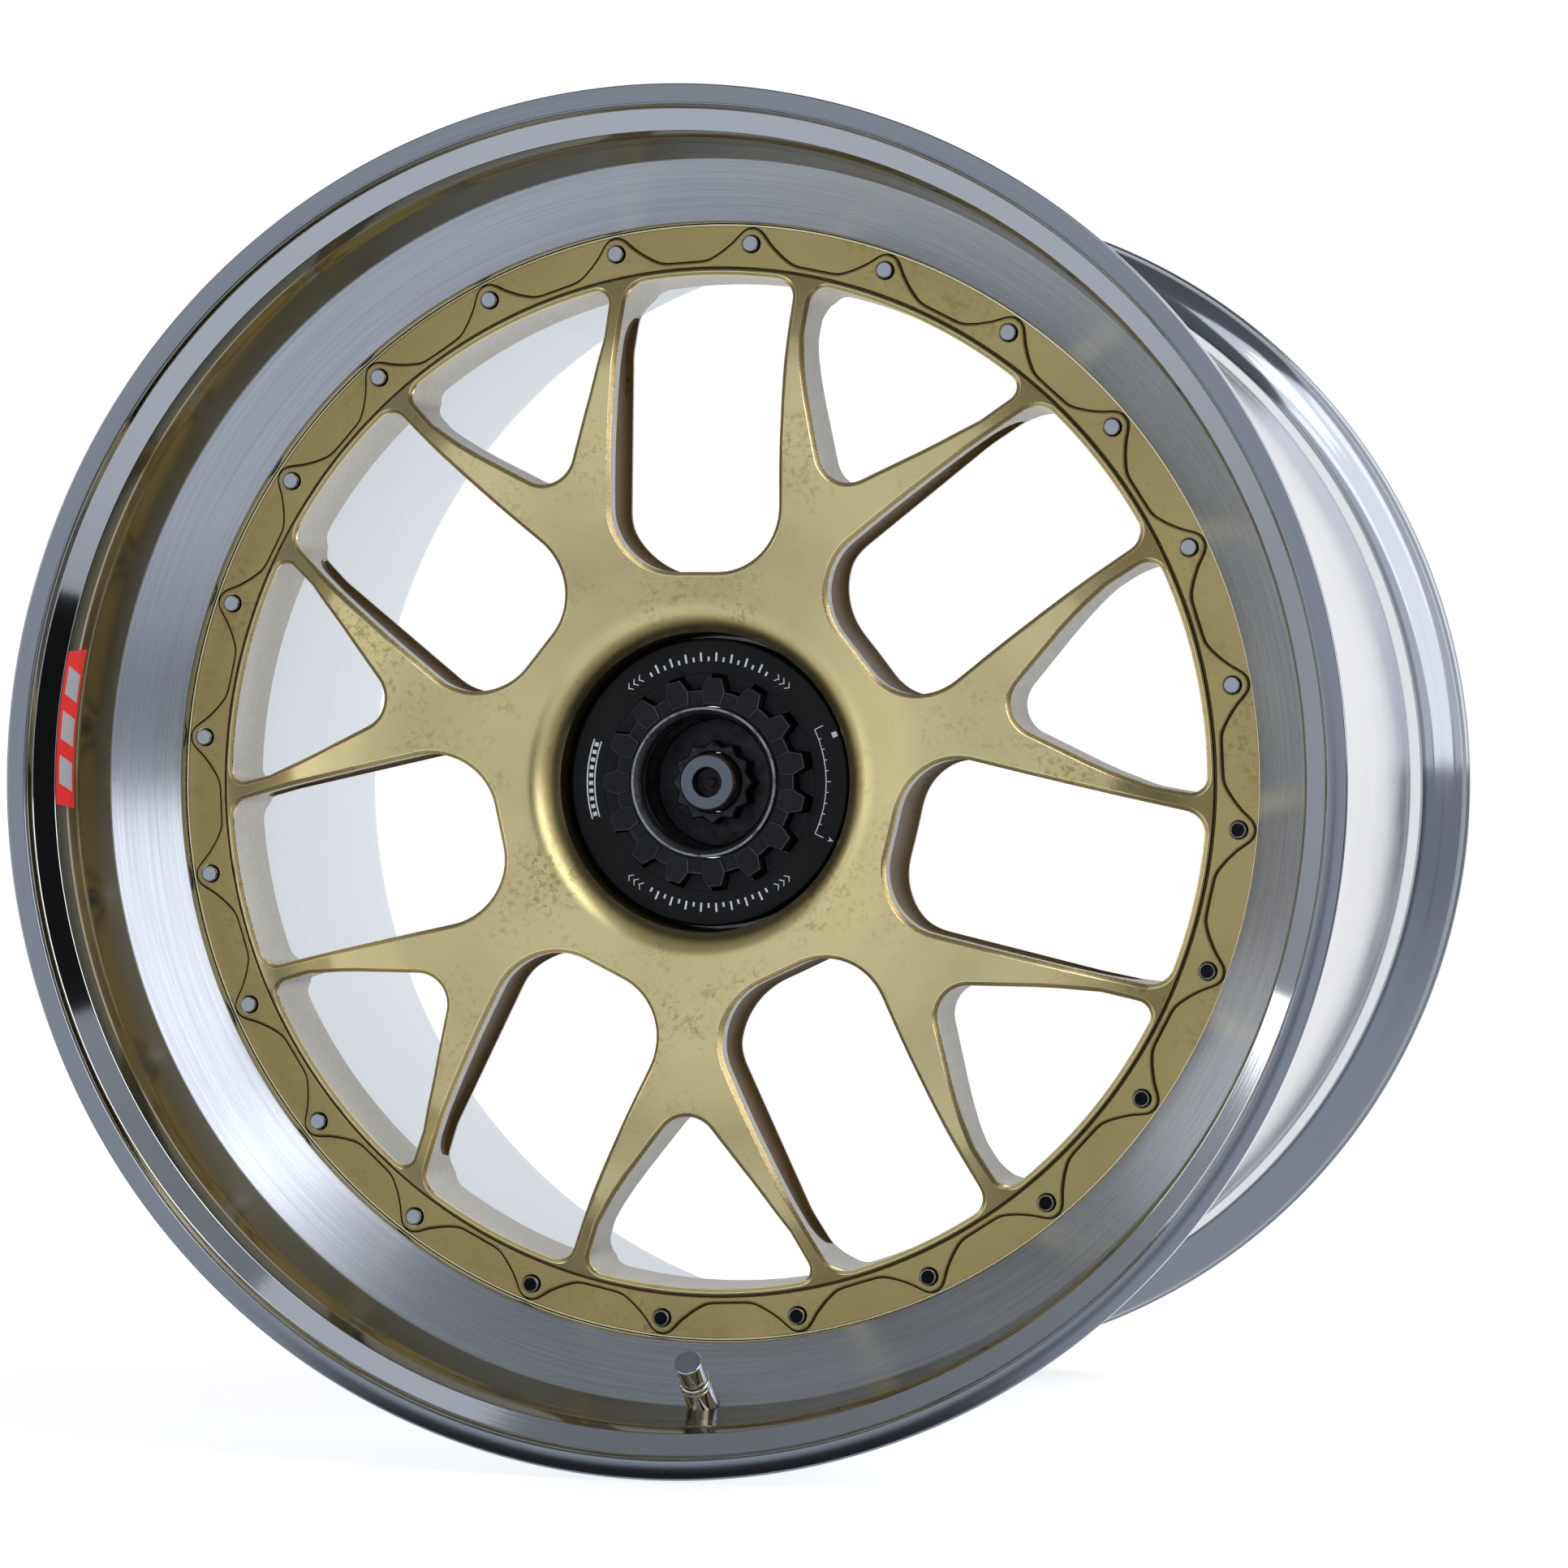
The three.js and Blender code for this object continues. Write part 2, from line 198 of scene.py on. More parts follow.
def grown(loop, distance):
    """Moves a counter-clockwise (x, z) loop outward by distance, with mitred corners."""
    ahead = np.roll(loop, -1, 0) - loop
    ahead /= np.linalg.norm(ahead, axis=1, keepdims=True)
    behind = np.roll(ahead, 1, 0)
    n1 = np.stack([ahead[:, 1], -ahead[:, 0]], 1)
    n2 = np.stack([behind[:, 1], -behind[:, 0]], 1)
    mitre = (n1 + n2) / np.maximum(0.35, 1 + (n1 * n2).sum(1, keepdims=True))
    return loop + mitre * (distance if np.isscalar(distance) else np.asarray(distance)[:, None])


def strips(shell, rings, slots):
    """Joins closed rings of (x, y, z) points with equal counts. Each slot is a number or one per point."""
    n = len(rings[0])
    faces, kinds = [], []
    for j in range(len(rings) - 1):
        kind = slots[j]
        for i in range(n):
            q = (i + 1) % n
            faces.append([j * n + i, j * n + q, (j + 1) * n + q, (j + 1) * n + i])
            kinds.append(int(kind[i]) if hasattr(kind, "__len__") else kind)
    shell.add(np.concatenate(rings), faces, kinds)


def at_height(loop, y):
    height = np.broadcast_to(y, len(loop))
    return np.stack([loop[:, 0], height, loop[:, 1]], 1)


def within(points, loop):
    """1 for each point inside the loop, and 0 for the rest."""
    ends = np.roll(loop, -1, 0)
    count = np.zeros(len(points), int)
    for (ax, az), (bx, bz) in zip(loop, ends):
        if az == bz:
            continue
        spans = (az > points[:, 1]) != (bz > points[:, 1])
        count += spans & (points[:, 0] < ax + (points[:, 1] - az) / (bz - az) * (bx - ax))
    return count % 2


def sheet(shell, loops, height, slot=0, spacing=0.0):
    """Fills the area between loops (even-odd) with triangles, lifted to height(R)."""
    points = np.concatenate(loops)
    edges, start = [], 0
    for loop in loops:
        n = len(loop)
        edges += [(start + i, start + (i + 1) % n) for i in range(n)]
        start += n
    if spacing:
        far = np.hypot(points[:, 0], points[:, 1])
        extra = []
        for k, r in enumerate(np.arange(far.min() + spacing, far.max(), spacing)):
            extra.append(circle(r, spacing, phase=(k % 2) * 180 * spacing / (math.pi * r)))
        extra = np.concatenate(extra)
        near = np.full(len(extra), 1e9)
        for chunk in np.array_split(points, 40):
            gap = np.linalg.norm(extra[:, None] - chunk[None], axis=2).min(1)
            near = np.minimum(near, gap)
        points = np.concatenate([points, extra[near > spacing * 0.6]])
    made = delaunay_2d_cdt([Vector(p) for p in points], edges, [], 1, 1e-5)
    flat = np.array([tuple(p) for p in made[0]])
    middles = np.array([flat[list(f)].mean(0) for f in made[2]])
    inside = np.zeros(len(middles), int)
    for loop in loops:
        inside += within(middles, loop)
    r = np.hypot(flat[:, 0], flat[:, 1])
    y = height(r) if callable(height) else np.full(len(r), float(height))
    kept = [f for f, k in zip(made[2], inside) if k % 2]
    shell.add(np.stack([flat[:, 0], y, flat[:, 1]], 1), kept, slot)


def slab(shell, outer, holes, y0, y1, bevel=0.3, slots=(0, 1, 0)):
    """A flat plate with a bevelled front edge. slots are for the face, the bevel and the walls."""
    front = [grown(outer, -bevel)] + [grown(h, bevel) for h in holes]
    sheet(shell, front, y0, slots[0])
    sheet(shell, [outer] + list(holes), y1, slots[2])
    for loop, inset in zip([outer] + list(holes), front):
        strips(shell, [at_height(inset, y0), at_height(loop, y0 + bevel), at_height(loop, y1)],
               [slots[1], slots[2]])


# ---- materials ---------------------------------------------------------------
def material(name, colour, metallic=1.0, roughness=0.4, anisotropy=0.0):
    m = bpy.data.materials.new(name)
    m.use_nodes = True
    tree = m.node_tree
    shader = tree.nodes["Principled BSDF"]
    shader.inputs["Base Color"].default_value = (*colour, 1)
    shader.inputs["Metallic"].default_value = metallic
    shader.inputs["Roughness"].default_value = roughness
    shader.inputs["Anisotropic"].default_value = anisotropy
    if anisotropy:
        tangent = tree.nodes.new("ShaderNodeTangent")
        tangent.direction_type = "RADIAL"
        tangent.axis = "Y"
        tree.links.new(tangent.outputs[0], shader.inputs["Tangent"])
    return m


def node(m, kind, **values):
    made = m.node_tree.nodes.new(kind)
    for key, value in values.items():
        if hasattr(made, key):
            setattr(made, key, value)
        else:
            made.inputs[key.replace("_", " ")].default_value = value
    return made


def link(m, a, b):
    m.node_tree.links.new(a, b)


def place_vector(m):
    """Object position, and the same laid out as (R, angle in radians, y) for turned grain."""
    coords = node(m, "ShaderNodeTexCoord")
    parts = node(m, "ShaderNodeSeparateXYZ")
    link(m, coords.outputs["Object"], parts.inputs[0])
    angle = node(m, "ShaderNodeMath", operation="ARCTAN2")
    link(m, parts.outputs["Z"], angle.inputs[0])
    link(m, parts.outputs["X"], angle.inputs[1])
    flat = node(m, "ShaderNodeCombineXYZ")
    link(m, parts.outputs["X"], flat.inputs[0])
    link(m, parts.outputs["Z"], flat.inputs[1])
    length = node(m, "ShaderNodeVectorMath", operation="LENGTH")
    link(m, flat.outputs[0], length.inputs[0])
    polar = node(m, "ShaderNodeCombineXYZ")
    link(m, length.outputs["Value"], polar.inputs[0])
    link(m, angle.outputs[0], polar.inputs[1])
    link(m, parts.outputs["Y"], polar.inputs[2])
    return coords.outputs["Object"], polar.outputs[0]


def noise(m, vector, scale, detail=4.0, stretch=(1, 1, 1), roughness=0.55):
    mapping = node(m, "ShaderNodeMapping")
    mapping.inputs["Scale"].default_value = stretch
    link(m, vector, mapping.inputs["Vector"])
    made = node(m, "ShaderNodeTexNoise", Scale=scale, Detail=detail, Roughness=roughness)
    link(m, mapping.outputs[0], made.inputs["Vector"])
    return made.outputs["Fac"]


def ramp(m, value, low, high, out_low=0.0, out_high=1.0):
    made = node(m, "ShaderNodeMapRange")
    made.inputs["From Min"].default_value = low
    made.inputs["From Max"].default_value = high
    made.inputs["To Min"].default_value = out_low
    made.inputs["To Max"].default_value = out_high
    link(m, value, made.inputs["Value"])
    return made.outputs["Result"]


def blend_colours(m, factor, a, b):
    made = node(m, "ShaderNodeMix", data_type="RGBA")
    link(m, factor, made.inputs[0])
    for socket, value in ((made.inputs[6], a), (made.inputs[7], b)):
        if isinstance(value, tuple):
            socket.default_value = (*value, 1)
        else:
            link(m, value, socket)
    return made.outputs[2]


def set_colour(m, colour):
    link(m, colour, m.node_tree.nodes["Principled BSDF"].inputs["Base Color"])


def set_roughness(m, value):
    link(m, value, m.node_tree.nodes["Principled BSDF"].inputs["Roughness"])


def set_bump(m, height, distance, strength):
    made = node(m, "ShaderNodeBump", Strength=strength, Distance=distance)
    link(m, height, made.inputs["Height"])
    link(m, made.outputs["Normal"], m.node_tree.nodes["Principled BSDF"].inputs["Normal"])


def gold(name, light, dark, rough, wear=0.5):
    """Champagne gold anodised alloy: fine speckle, soft cloudy tone and darker worn patches."""
    m = material(name, light)
    place, _ = place_vector(m)
    cloud = ramp(m, noise(m, place, 22, 4), 0.42, 0.68)
    tone = blend_colours(m, cloud, light, tuple(0.82 * c + 0.18 * d for c, d in zip(light, dark)))
    patch = ramp(m, noise(m, place, 26, 5, roughness=0.7), 0.50, 0.66, 0, wear)
    dots = ramp(m, noise(m, place, 420, 4, roughness=0.7), 0.50, 0.60)
    stipple = node(m, "ShaderNodeMath", operation="MULTIPLY")
    link(m, patch, stipple.inputs[0])
    link(m, dots, stipple.inputs[1])
    set_colour(m, blend_colours(m, stipple.outputs[0], tone, dark))
    speckle = noise(m, place, 1500, 2)
    set_roughness(m, ramp(m, speckle, 0.3, 0.7, rough - 0.05, rough + 0.07))
    set_bump(m, speckle, 0.00006, 0.5)
    return m


def turned_metal(name, colour, rough, anisotropy, streak=0.1, grain=0.000008):
    """Bright alloy turned on a lathe: fine rings of tone, roughness and relief."""
    m = material(name, colour, roughness=rough, anisotropy=anisotropy)
    place, polar = place_vector(m)
    lines = noise(m, polar, 90, 5, stretch=(60, 0.05, 60), roughness=0.7)
    long = noise(m, polar, 12, 4, stretch=(90, 0.12, 90), roughness=0.7)
    darker = tuple(c * (1 - 2.2 * streak) for c in colour)
    set_colour(m, blend_colours(m, ramp(m, long, 0.35, 0.7), colour, darker))
    set_roughness(m, ramp(m, lines, 0.3, 0.7, rough * 0.85, rough * 1.2))
    set_bump(m, lines, grain, 0.5)
    if anisotropy:
        m.node_tree.nodes["Principled BSDF"].inputs["Anisotropic Rotation"].default_value = 0.25
    return m


def mirror_metal(name, colour, rough, smear=0.02):
    m = material(name, colour, roughness=rough)
    place, polar = place_vector(m)
    haze = noise(m, place, 25, 5)
    set_roughness(m, ramp(m, haze, 0.3, 0.75, rough, rough + smear))
    lines = noise(m, polar, 30, 3, stretch=(30, 0.2, 30))
    set_bump(m, lines, 0.000008, 0.4)
    return m


def satin_black(name, colour, rough):
    m = material(name, colour, metallic=0.0, roughness=rough)
    m.node_tree.nodes["Principled BSDF"].inputs["Specular IOR Level"].default_value = 0.2
    place, _ = place_vector(m)
    cloud = noise(m, place, 70, 6)
    set_colour(m, blend_colours(m, ramp(m, cloud, 0.35, 0.75), colour, tuple(1.6 * c for c in colour)))
    speckle = noise(m, place, 2600, 2)
    set_roughness(m, ramp(m, speckle, 0.3, 0.7, rough - 0.06, rough + 0.08))
    set_bump(m, speckle, 0.00004, 0.4)
    return m


def stained_steel(name, colour, stain, amount, rough):
    """Worn bare steel with brown stains, scratches and dull patches."""
    m = material(name, colour, roughness=rough)
    place, polar = place_vector(m)
    blotch = noise(m, place, 130, 8, roughness=0.75)
    lines = noise(m, polar, 80, 4, stretch=(30, 0.5, 30))
    mask = ramp(m, blotch, 0.62 - 0.25 * amount, 0.74 - 0.2 * amount)
    base = blend_colours(m, ramp(m, lines, 0.3, 0.7), colour, tuple(0.7 * c for c in colour))
    set_colour(m, blend_colours(m, mask, base, stain))
    set_roughness(m, ramp(m, blotch, 0.3, 0.75, rough, rough + 0.3))
    set_bump(m, blotch, 0.00015, 0.5)
    return m


def plain(name, colour, rough, metallic=0.0, grain=900):
    m = material(name, colour, metallic=metallic, roughness=rough)
    place, _ = place_vector(m)
    fine = noise(m, place, grain, 3)
    set_colour(m, blend_colours(m, fine, colour, tuple(0.8 * c for c in colour)))
    set_roughness(m, ramp(m, fine, 0.3, 0.7, rough - 0.05, rough + 0.05))
    set_bump(m, fine, 0.00005, 0.4)
    return m


GOLD_FACE = gold("gold_face", (0.70, 0.60, 0.31), (0.34, 0.25, 0.10), 0.34, 0.7)
# gold_edge_painted_highlight: brighter gold on the thin strips along edges, painted highlight lines standing
# in for light caught by the edges.
GOLD_EDGE_HIGHLIGHT = gold("gold_edge_painted_highlight", (0.90, 0.80, 0.50), (0.55, 0.42, 0.2), 0.24, 0.3)
GOLD_BEVEL = gold("gold_bevel", (0.50, 0.39, 0.17), (0.25, 0.16, 0.06), 0.34, 0.6)
GOLD_FLANGE = gold("gold_flange", (0.48, 0.39, 0.17), (0.22, 0.15, 0.06), 0.42, 0.5)
# gold_groove_painted_shade: very dark gold, painted shade in the grooves, bolt-hole bores, the boss outline
# and the bore behind the nut.
GOLD_GROOVE_SHADE = gold("gold_groove_painted_shade", (0.10, 0.075, 0.03), (0.04, 0.025, 0.01), 0.5, 0.5)
WALL = plain("bare_wall", (0.60, 0.575, 0.52), 0.45, metallic=0.25, grain=400)
POCKET = gold("bronze_pocket", (0.115, 0.072, 0.026), (0.05, 0.028, 0.012), 0.42, 0.9)
LIP_BRUSHED = turned_metal("lip_brushed", (0.50, 0.53, 0.59), 0.28, 0.8, 0.10)
LIP_BAND = turned_metal("lip_band", (0.275, 0.295, 0.335), 0.12, 0.2, 0.05)
LIP_MIRROR = mirror_metal("lip_mirror", (0.46, 0.47, 0.50), 0.05, 0.02)
LIP_WALL = mirror_metal("lip_wall", (0.33, 0.295, 0.215), 0.11, 0.05)
BARREL_OUT = mirror_metal("barrel_satin", (0.70, 0.72, 0.76), 0.15, 0.08)
# bead_painted_shade: the rear bead is a much darker grey than the barrel of the same alloy: painted shade.
BEAD_SHADE = mirror_metal("bead_painted_shade", (0.25, 0.27, 0.305), 0.08, 0.05)
# bead_groove_painted_shade: near-black grey in the grooves of the rear bead, painted shade.
BEAD_GROOVE_SHADE = mirror_metal("bead_groove_painted_shade", (0.10, 0.108, 0.125), 0.12, 0.05)
# lip_wall_painted_dark_reflection: the front strip of the bowl wall is painted near-black, a painted dark
# reflection in place of the pale barrel it would mirror.
LIP_WALL_DARK_REFLECTION = mirror_metal("lip_wall_painted_dark_reflection", (0.085, 0.078, 0.055), 0.11, 0.04)
BARREL_IN = turned_metal("barrel_inside", (0.87, 0.90, 0.95), 0.55, 0.0, 0.02)
BARREL_IN.node_tree.nodes["Principled BSDF"].inputs["Metallic"].default_value = 0.5
NUT_BLACK = satin_black("nut_black", (0.0030, 0.0034, 0.0045), 0.50)
CROWN_BLACK = satin_black("crown_black", (0.0045, 0.0050, 0.0070), 0.48)
CROWN_EDGE = satin_black("crown_edge", (0.040, 0.044, 0.055), 0.4)
SLEEVE_STEEL = stained_steel("worn_steel", (0.34, 0.36, 0.41), (0.085, 0.045, 0.03), 0.45, 0.26)
SLEEVE_DARK = stained_steel("oily_steel", (0.018, 0.018, 0.021), (0.010, 0.006, 0.005), 0.5, 0.4)
STAR_STEEL = stained_steel("star_steel", (0.060, 0.062, 0.072), (0.045, 0.028, 0.022), 0.5, 0.45)
PIN_RUST = stained_steel("pin_rust", (0.16, 0.14, 0.14), (0.075, 0.035, 0.022), 0.8, 0.4)
PIN_FACE = plain("pin_grey", (0.11, 0.125, 0.16), 0.5, metallic=0.3)
BOLT_TIP = mirror_metal("bolt_tip", (0.36, 0.385, 0.43), 0.03, 0.015)
CHROME = mirror_metal("chrome", (0.70, 0.71, 0.74), 0.05, 0.03)
CAP_FACE = plain("cap_grey", (0.15, 0.168, 0.205), 0.42, metallic=0.3)
STEEL = turned_metal("dark_steel", (0.30, 0.31, 0.34), 0.3, 0.2, 0.05)
BRASS = turned_metal("brass", (0.66, 0.45, 0.17), 0.25, 0.2, 0.08)
RUBBER = plain("seal_rubber", (0.012, 0.012, 0.013), 0.6)
MARK_WHITE = plain("mark_white", (0.74, 0.77, 0.82), 0.5, grain=2500)
STICKER_RED = plain("sticker_red", (0.82, 0.004, 0.004), 0.35, grain=1500)
STICKER_SILVER = plain("sticker_silver", (0.40, 0.41, 0.45), 0.4, grain=1500)


# ---- wheel centre --------------------------------------------------------------
FACE, EDGE_HIGHLIGHT, BEVEL, BARE, SIDE_POCKET, FLANGE, GROOVE_SHADE = range(7)


def profile_table(corners, spread):
    """A smoothed height table through corners, keeping both ends."""
    margin, step, reach = 12, 0.25, 40
    xs, ys = zip(*corners)
    r = np.arange(xs[0] - margin, xs[-1] + margin, step)
    y = np.interp(r, xs, ys)
    first = (ys[1] - ys[0]) / (xs[1] - xs[0])
    final = (ys[-1] - ys[-2]) / (xs[-1] - xs[-2])
    y = np.where(r < xs[0], ys[0] + first * (r - xs[0]), y)
    y = np.where(r > xs[-1], ys[-1] + final * (r - xs[-1]), y)
    k = np.exp(-0.5 * (np.arange(-reach, reach + 1) * step / spread) ** 2)
    k /= k.sum()
    smooth = np.convolve(np.pad(y, reach, mode="edge"), k, mode="valid")
    return lambda radius: np.interp(radius, r, smooth)


FACE_CORNERS = [(64.5, 57), (77, 54.5), (84, 53), (101, 50.8), (118, 50), (128, 50.2), (145, 52.4),
                (157, 55), (167, 59.2), (180, 66), (190, 71.6)]
BACK_CORNERS = [(68, 108), (80, 92), (98, 80.8), (163, 80.8), (177, 88), (184.5, 103.5)]
face_height = profile_table(FACE_CORNERS, 2.0)
sloped_back = profile_table(BACK_CORNERS, 1.6)


def back_height(r):
    return np.minimum(103.5 + np.maximum(0, 68.5 - np.asarray(r)) * 9, np.where(
        np.asarray(r) > 100, np.minimum(103.5, sloped_back(r)), sloped_back(r)))


def window_loop():
    half, corner, outer, tight = 32.1, 24.0, 187.6, 8.0
    cx = half - tight
    cz = math.sqrt((outer - tight) ** 2 - cx ** 2)
    turn = math.degrees(math.atan2(cz, cx))
    return mirrored(np.concatenate([
        arc(half - corner, 77.2 + corner, corner, -90, 0, 24),
        arc(cx, cz, tight, 0, turn, 12),
        arc(0, 0, outer, turn, 90, 16)[1:],
    ]))


def triangle_loop():
    nose, tight, outer = 11.5, 5.5, 187.6
    cx = 42.4 - tight
    cz = math.sqrt((outer - tight) ** 2 - cx ** 2)
    turn = math.degrees(math.atan2(cz, cx))
    return mirrored(np.concatenate([
        arc(0, 122.7 + nose, nose, -90, -38, 10),
        [(18.9, 139.6), (23.8, 145.8), (28.5, 152.2), (36.8, 164.6)],
        arc(cx, cz, tight, -28, turn, 9),
        arc(0, 0, outer, turn, 90, 20)[1:],
    ]))


def boss_loop():
    """The edge of the raised mounting face: a lobe round each bolt, and a shallow pad between."""
    table = [(0, 205.2), (0.45, 205.1), (0.8, 204.5), (1.15, 203.2), (2.0, 199.7), (3.15, 196.4),
             (4.1, 194.3), (4.75, 193.2), (5.5, 192.75), (7.5, 192.6)]
    t = np.arange(0, 360, 0.2)
    near = np.abs((t + BOLT_STEP / 2) % BOLT_STEP - BOLT_STEP / 2)
    r = np.interp(near, *zip(*table))
    k = np.array([1, 2, 3, 2, 1]) / 9
    r = np.convolve(np.concatenate([r[-2:], r, r[:2]]), k, mode="valid")
    a = np.radians(t + BOLT_PHASE)
    return resampled(np.stack([r * np.cos(a), r * np.sin(a)], 1), 0.9)


def opening_walls(shell, loop, pocketed):
    """The edge bevel, bare-machined strip, side pocket and rear edge round one opening."""
    far = np.hypot(loop[:, 0], loop[:, 1])
    top, bottom = face_height(far), back_height(far)
    end = np.clip((far - 166) / 11, 0, 1)
    strip = top + 7.2
    low = bottom - 2.0
    strip = strip + (low - 0.4 - strip) * (1 - np.sqrt(1 - end ** 2))
    depth = 2.5 * np.sqrt(1 - end ** 2) if pocketed else np.zeros(len(loop))

    def ring(offset, y):
        moved = grown(loop, offset)
        return moved, at_height(moved, y(np.hypot(moved[:, 0], moved[:, 1])) if callable(y) else y)

    front_loop, first = ring(1.7, face_height)
    rings = [first, ring(1.42, lambda r: face_height(r) + 0.16)[1],
             ring(0.28, lambda r: face_height(r) + 1.15)[1], ring(0.0, top + 1.5)[1], ring(0.0, strip)[1]]
    # The EDGE_HIGHLIGHT strips on either side of the bevel are in the brighter gold: painted highlight
    # lines.
    slots = [EDGE_HIGHLIGHT, BEVEL, EDGE_HIGHLIGHT, BARE]
    inside = np.where((far < 176.5) & pocketed, SIDE_POCKET, BARE)
    for t in (0.07, 0.2, 0.5, 0.8, 0.93, 1.0):
        bulge = (1 - abs(2 * t - 1) ** 3.5) * depth
        rings.append(ring(bulge, strip + (low - strip) * t)[1])
        slots.append(inside)
    back_loop, last = ring(0.6, back_height)
    rings += [ring(0.0, bottom - 0.6)[1], last]
    slots += [BARE, BARE]
    strips(shell, rings, slots)
    return front_loop, back_loop


def wheel_centre():
    shell = Shell()
    fronts, backs = [], []
    window, triangle = resampled(window_loop(), 1.2), resampled(triangle_loop(), 1.2)
    for k in range(SPOKES):
        stem = STEM_ANGLE + k * 360 / SPOKES
        for loop, angle, pocketed in ((window, stem + 180 / SPOKES, True), (triangle, stem, False)):
            made = opening_walls(shell, turned_by(loop, angle - 90), pocketed)
            fronts.append(made[0])
            backs.append(made[1])
    inner, outer = circle(65.3, 2.0), circle(189.9, 2.0)
    sheet(shell, [outer, inner, *fronts], face_height, FACE, 3.2)
    sheet(shell, [circle(PILOT, count=SEGMENTS), circle(HUB_EDGE, 2.0), *backs], back_height, FACE, 4.5)

    def ring_at(r, count, y):
        return at_height(circle(r, count=count), y)

    n = len(outer)
    # The narrow groove round the face takes the very dark gold: painted shade.
    groove = [(189.9, face_height(189.9)), (190.1, 72.35), (190.25, 72.6), (190.75, 72.6), (190.95, 72.2),
              (191.2, 72.0)]
    strips(shell, [ring_at(r, n, y) for r, y in groove],
           [GROOVE_SHADE, GROOVE_SHADE, GROOVE_SHADE, GROOVE_SHADE, FLANGE])
    boss = boss_loop()
    bolt_places = [turned_by([(BOLT_CIRCLE, 0)], BOLT_PHASE + BOLT_STEP * i)[0]
                   for i in range(BOLTS)]
    mouths = [circle(3.75, count=28, centre=p) for p in bolt_places]
    sheet(shell, [grown(boss, -0.55), circle(191.2, count=n), *mouths], FLANGE_FACE, FLANGE)
    for p in bolt_places:
        mouth = [(3.75, FLANGE_FACE), (BOLT_HOLE, 72.35), (BOLT_HOLE, 83.6), (BOLT_HOLE, FLANGE_BACK)]
        lathe(shell, mouth, lambda r, y: EDGE_HIGHLIGHT if y < 72.3 else GROOVE_SHADE, closed=False, segments=28, centre=p)
    # The small groove round the raised boss takes the very dark gold: painted shade.
    strips(shell, [at_height(grown(boss, d), y) for d, y in (
        (-0.55, 72.0), (-0.15, 72.15), (0.0, 72.5), (0.0, 74.0), (0.55, 74.0), (0.85, 73.55))],
           [FLANGE, EDGE_HIGHLIGHT, GROOVE_SHADE, GROOVE_SHADE, GROOVE_SHADE])
    rim = [(206.0, FLANGE_STEP), (206.2, 73.1), (206.75, 73.1), (FLANGE_EDGE, 73.3),
           (FLANGE_EDGE, FLANGE_BACK)]
    sheet(shell, [circle(206.0, count=SEGMENTS), grown(boss, 0.85)], FLANGE_STEP, FLANGE)
    # The front edge of the flange rim is in the brighter gold: a painted highlight line.
    lathe(shell, rim, lambda r, y: EDGE_HIGHLIGHT if r > 206.3 and y < 73.4 else FLANGE, closed=False)
    holes = [circle(BOLT_HOLE, count=28, centre=p) for p in bolt_places]
    sheet(shell, [circle(FLANGE_EDGE, count=SEGMENTS), circle(PILOT, count=SEGMENTS), *holes],
          FLANGE_BACK, FLANGE)
    lathe(shell, [(PILOT, FLANGE_BACK), (PILOT, 103.5)], FLANGE, closed=False)
    m = len(inner)
    dish = rounded([(65.3, face_height(65.3)), (63.5, 57.6), (61.6, 58.9), (59.8, 60.7), (58.2, 62.8),
                    (56.9, 65.0), (55.9, 67.6), (55.6, 68.4), (55.6, 93),
                    (HUB_BORE, 93), (HUB_BORE, HUB_FACE)], closed=False)
    # Deeper than y 69 the dish takes the very dark gold: painted shade in the bore behind the nut.
    strips(shell, [ring_at(r, m, y) for r, y in dish],
           [FACE if y < 69 else GROOVE_SHADE for _, y in dish[1:]])
    socket_floor = 97
    sockets = [circle(7.8, count=32, centre=turned_by([(DRIVE_CIRCLE, 0)], 90 + 360 / DRIVE_PINS * i)[0])
               for i in range(DRIVE_PINS)]
    sheet(shell, [circle(HUB_EDGE, 2.0), circle(HUB_BORE, count=m), *sockets], HUB_FACE, FACE)
    for loop in sockets:
        strips(shell, [at_height(loop, HUB_FACE), at_height(loop, socket_floor)], [FACE])
        sheet(shell, [loop], socket_floor, FACE)
    finishes = [GOLD_FACE, GOLD_EDGE_HIGHLIGHT, GOLD_BEVEL, WALL, POCKET, GOLD_FLANGE, GOLD_GROOVE_SHADE]
    return shell.finish("forged_centre", finishes, "wheel", ["wheel_centre"], sharp=19)


wheel_centre()


# ---- rim halves ------------------------------------------------------------------
def outer_half():
    shell = Shell()
    band, brushed, mirror, outside, wall, wall_dark_reflection = range(6)
    bowl = [(248.5, 0.5, 0.5), (248.0, 0, 0.4), (241.5, 0, 0.5), (240.8, 1.2, 0.5), (240.2, 4.7, 0.5),
            (232.9, 9.1, 0.4), (231.2, 16, 1.2), (230.6, 22, 1.2), (230.2, 24.5, 1.5), (228.3, 50, 0.6),
            (207.3, 68.3, 0.4), (207.1, 69), (207.1, 84.3), (190.5, 84.3), (190.5, 90.3), (213, 90.3)]
    tyre = [(213, 72, 3), (232.6, 54.6, 5), (236.4, 40, 4), (234.4, 31, 4), (235, 17.5, 4), (240.5, 11.5, 3),
            (248.0, 6, 2), (248.5, 5, 0.5)]

    def finish_at(r, y):
        if y < 1.3 and r > 240.5:
            return band
        if r < 229.5 and y > 49 and y < 70 and (r - 207.1) < (69.5 - y) * 1.25:
            return brushed
        if r < 241.6 and 1.3 <= y < 9.2:
            return mirror
        if r < 233.2 and 9.1 <= y < 50.3:
            # The bowl wall in front of y 15.5 takes the near-black colour: a painted dark reflection.
            return wall_dark_reflection if y < 15.5 else wall
        return outside

    lathe(shell, rounded(bowl + tyre), finish_at, segments=360)
    finishes = [LIP_BAND, LIP_BRUSHED, LIP_MIRROR, BARREL_OUT, LIP_WALL, LIP_WALL_DARK_REFLECTION]
    return shell.finish("outer_half_visual", finishes, "wheel", ["outer_rim_half"], sharp=24)


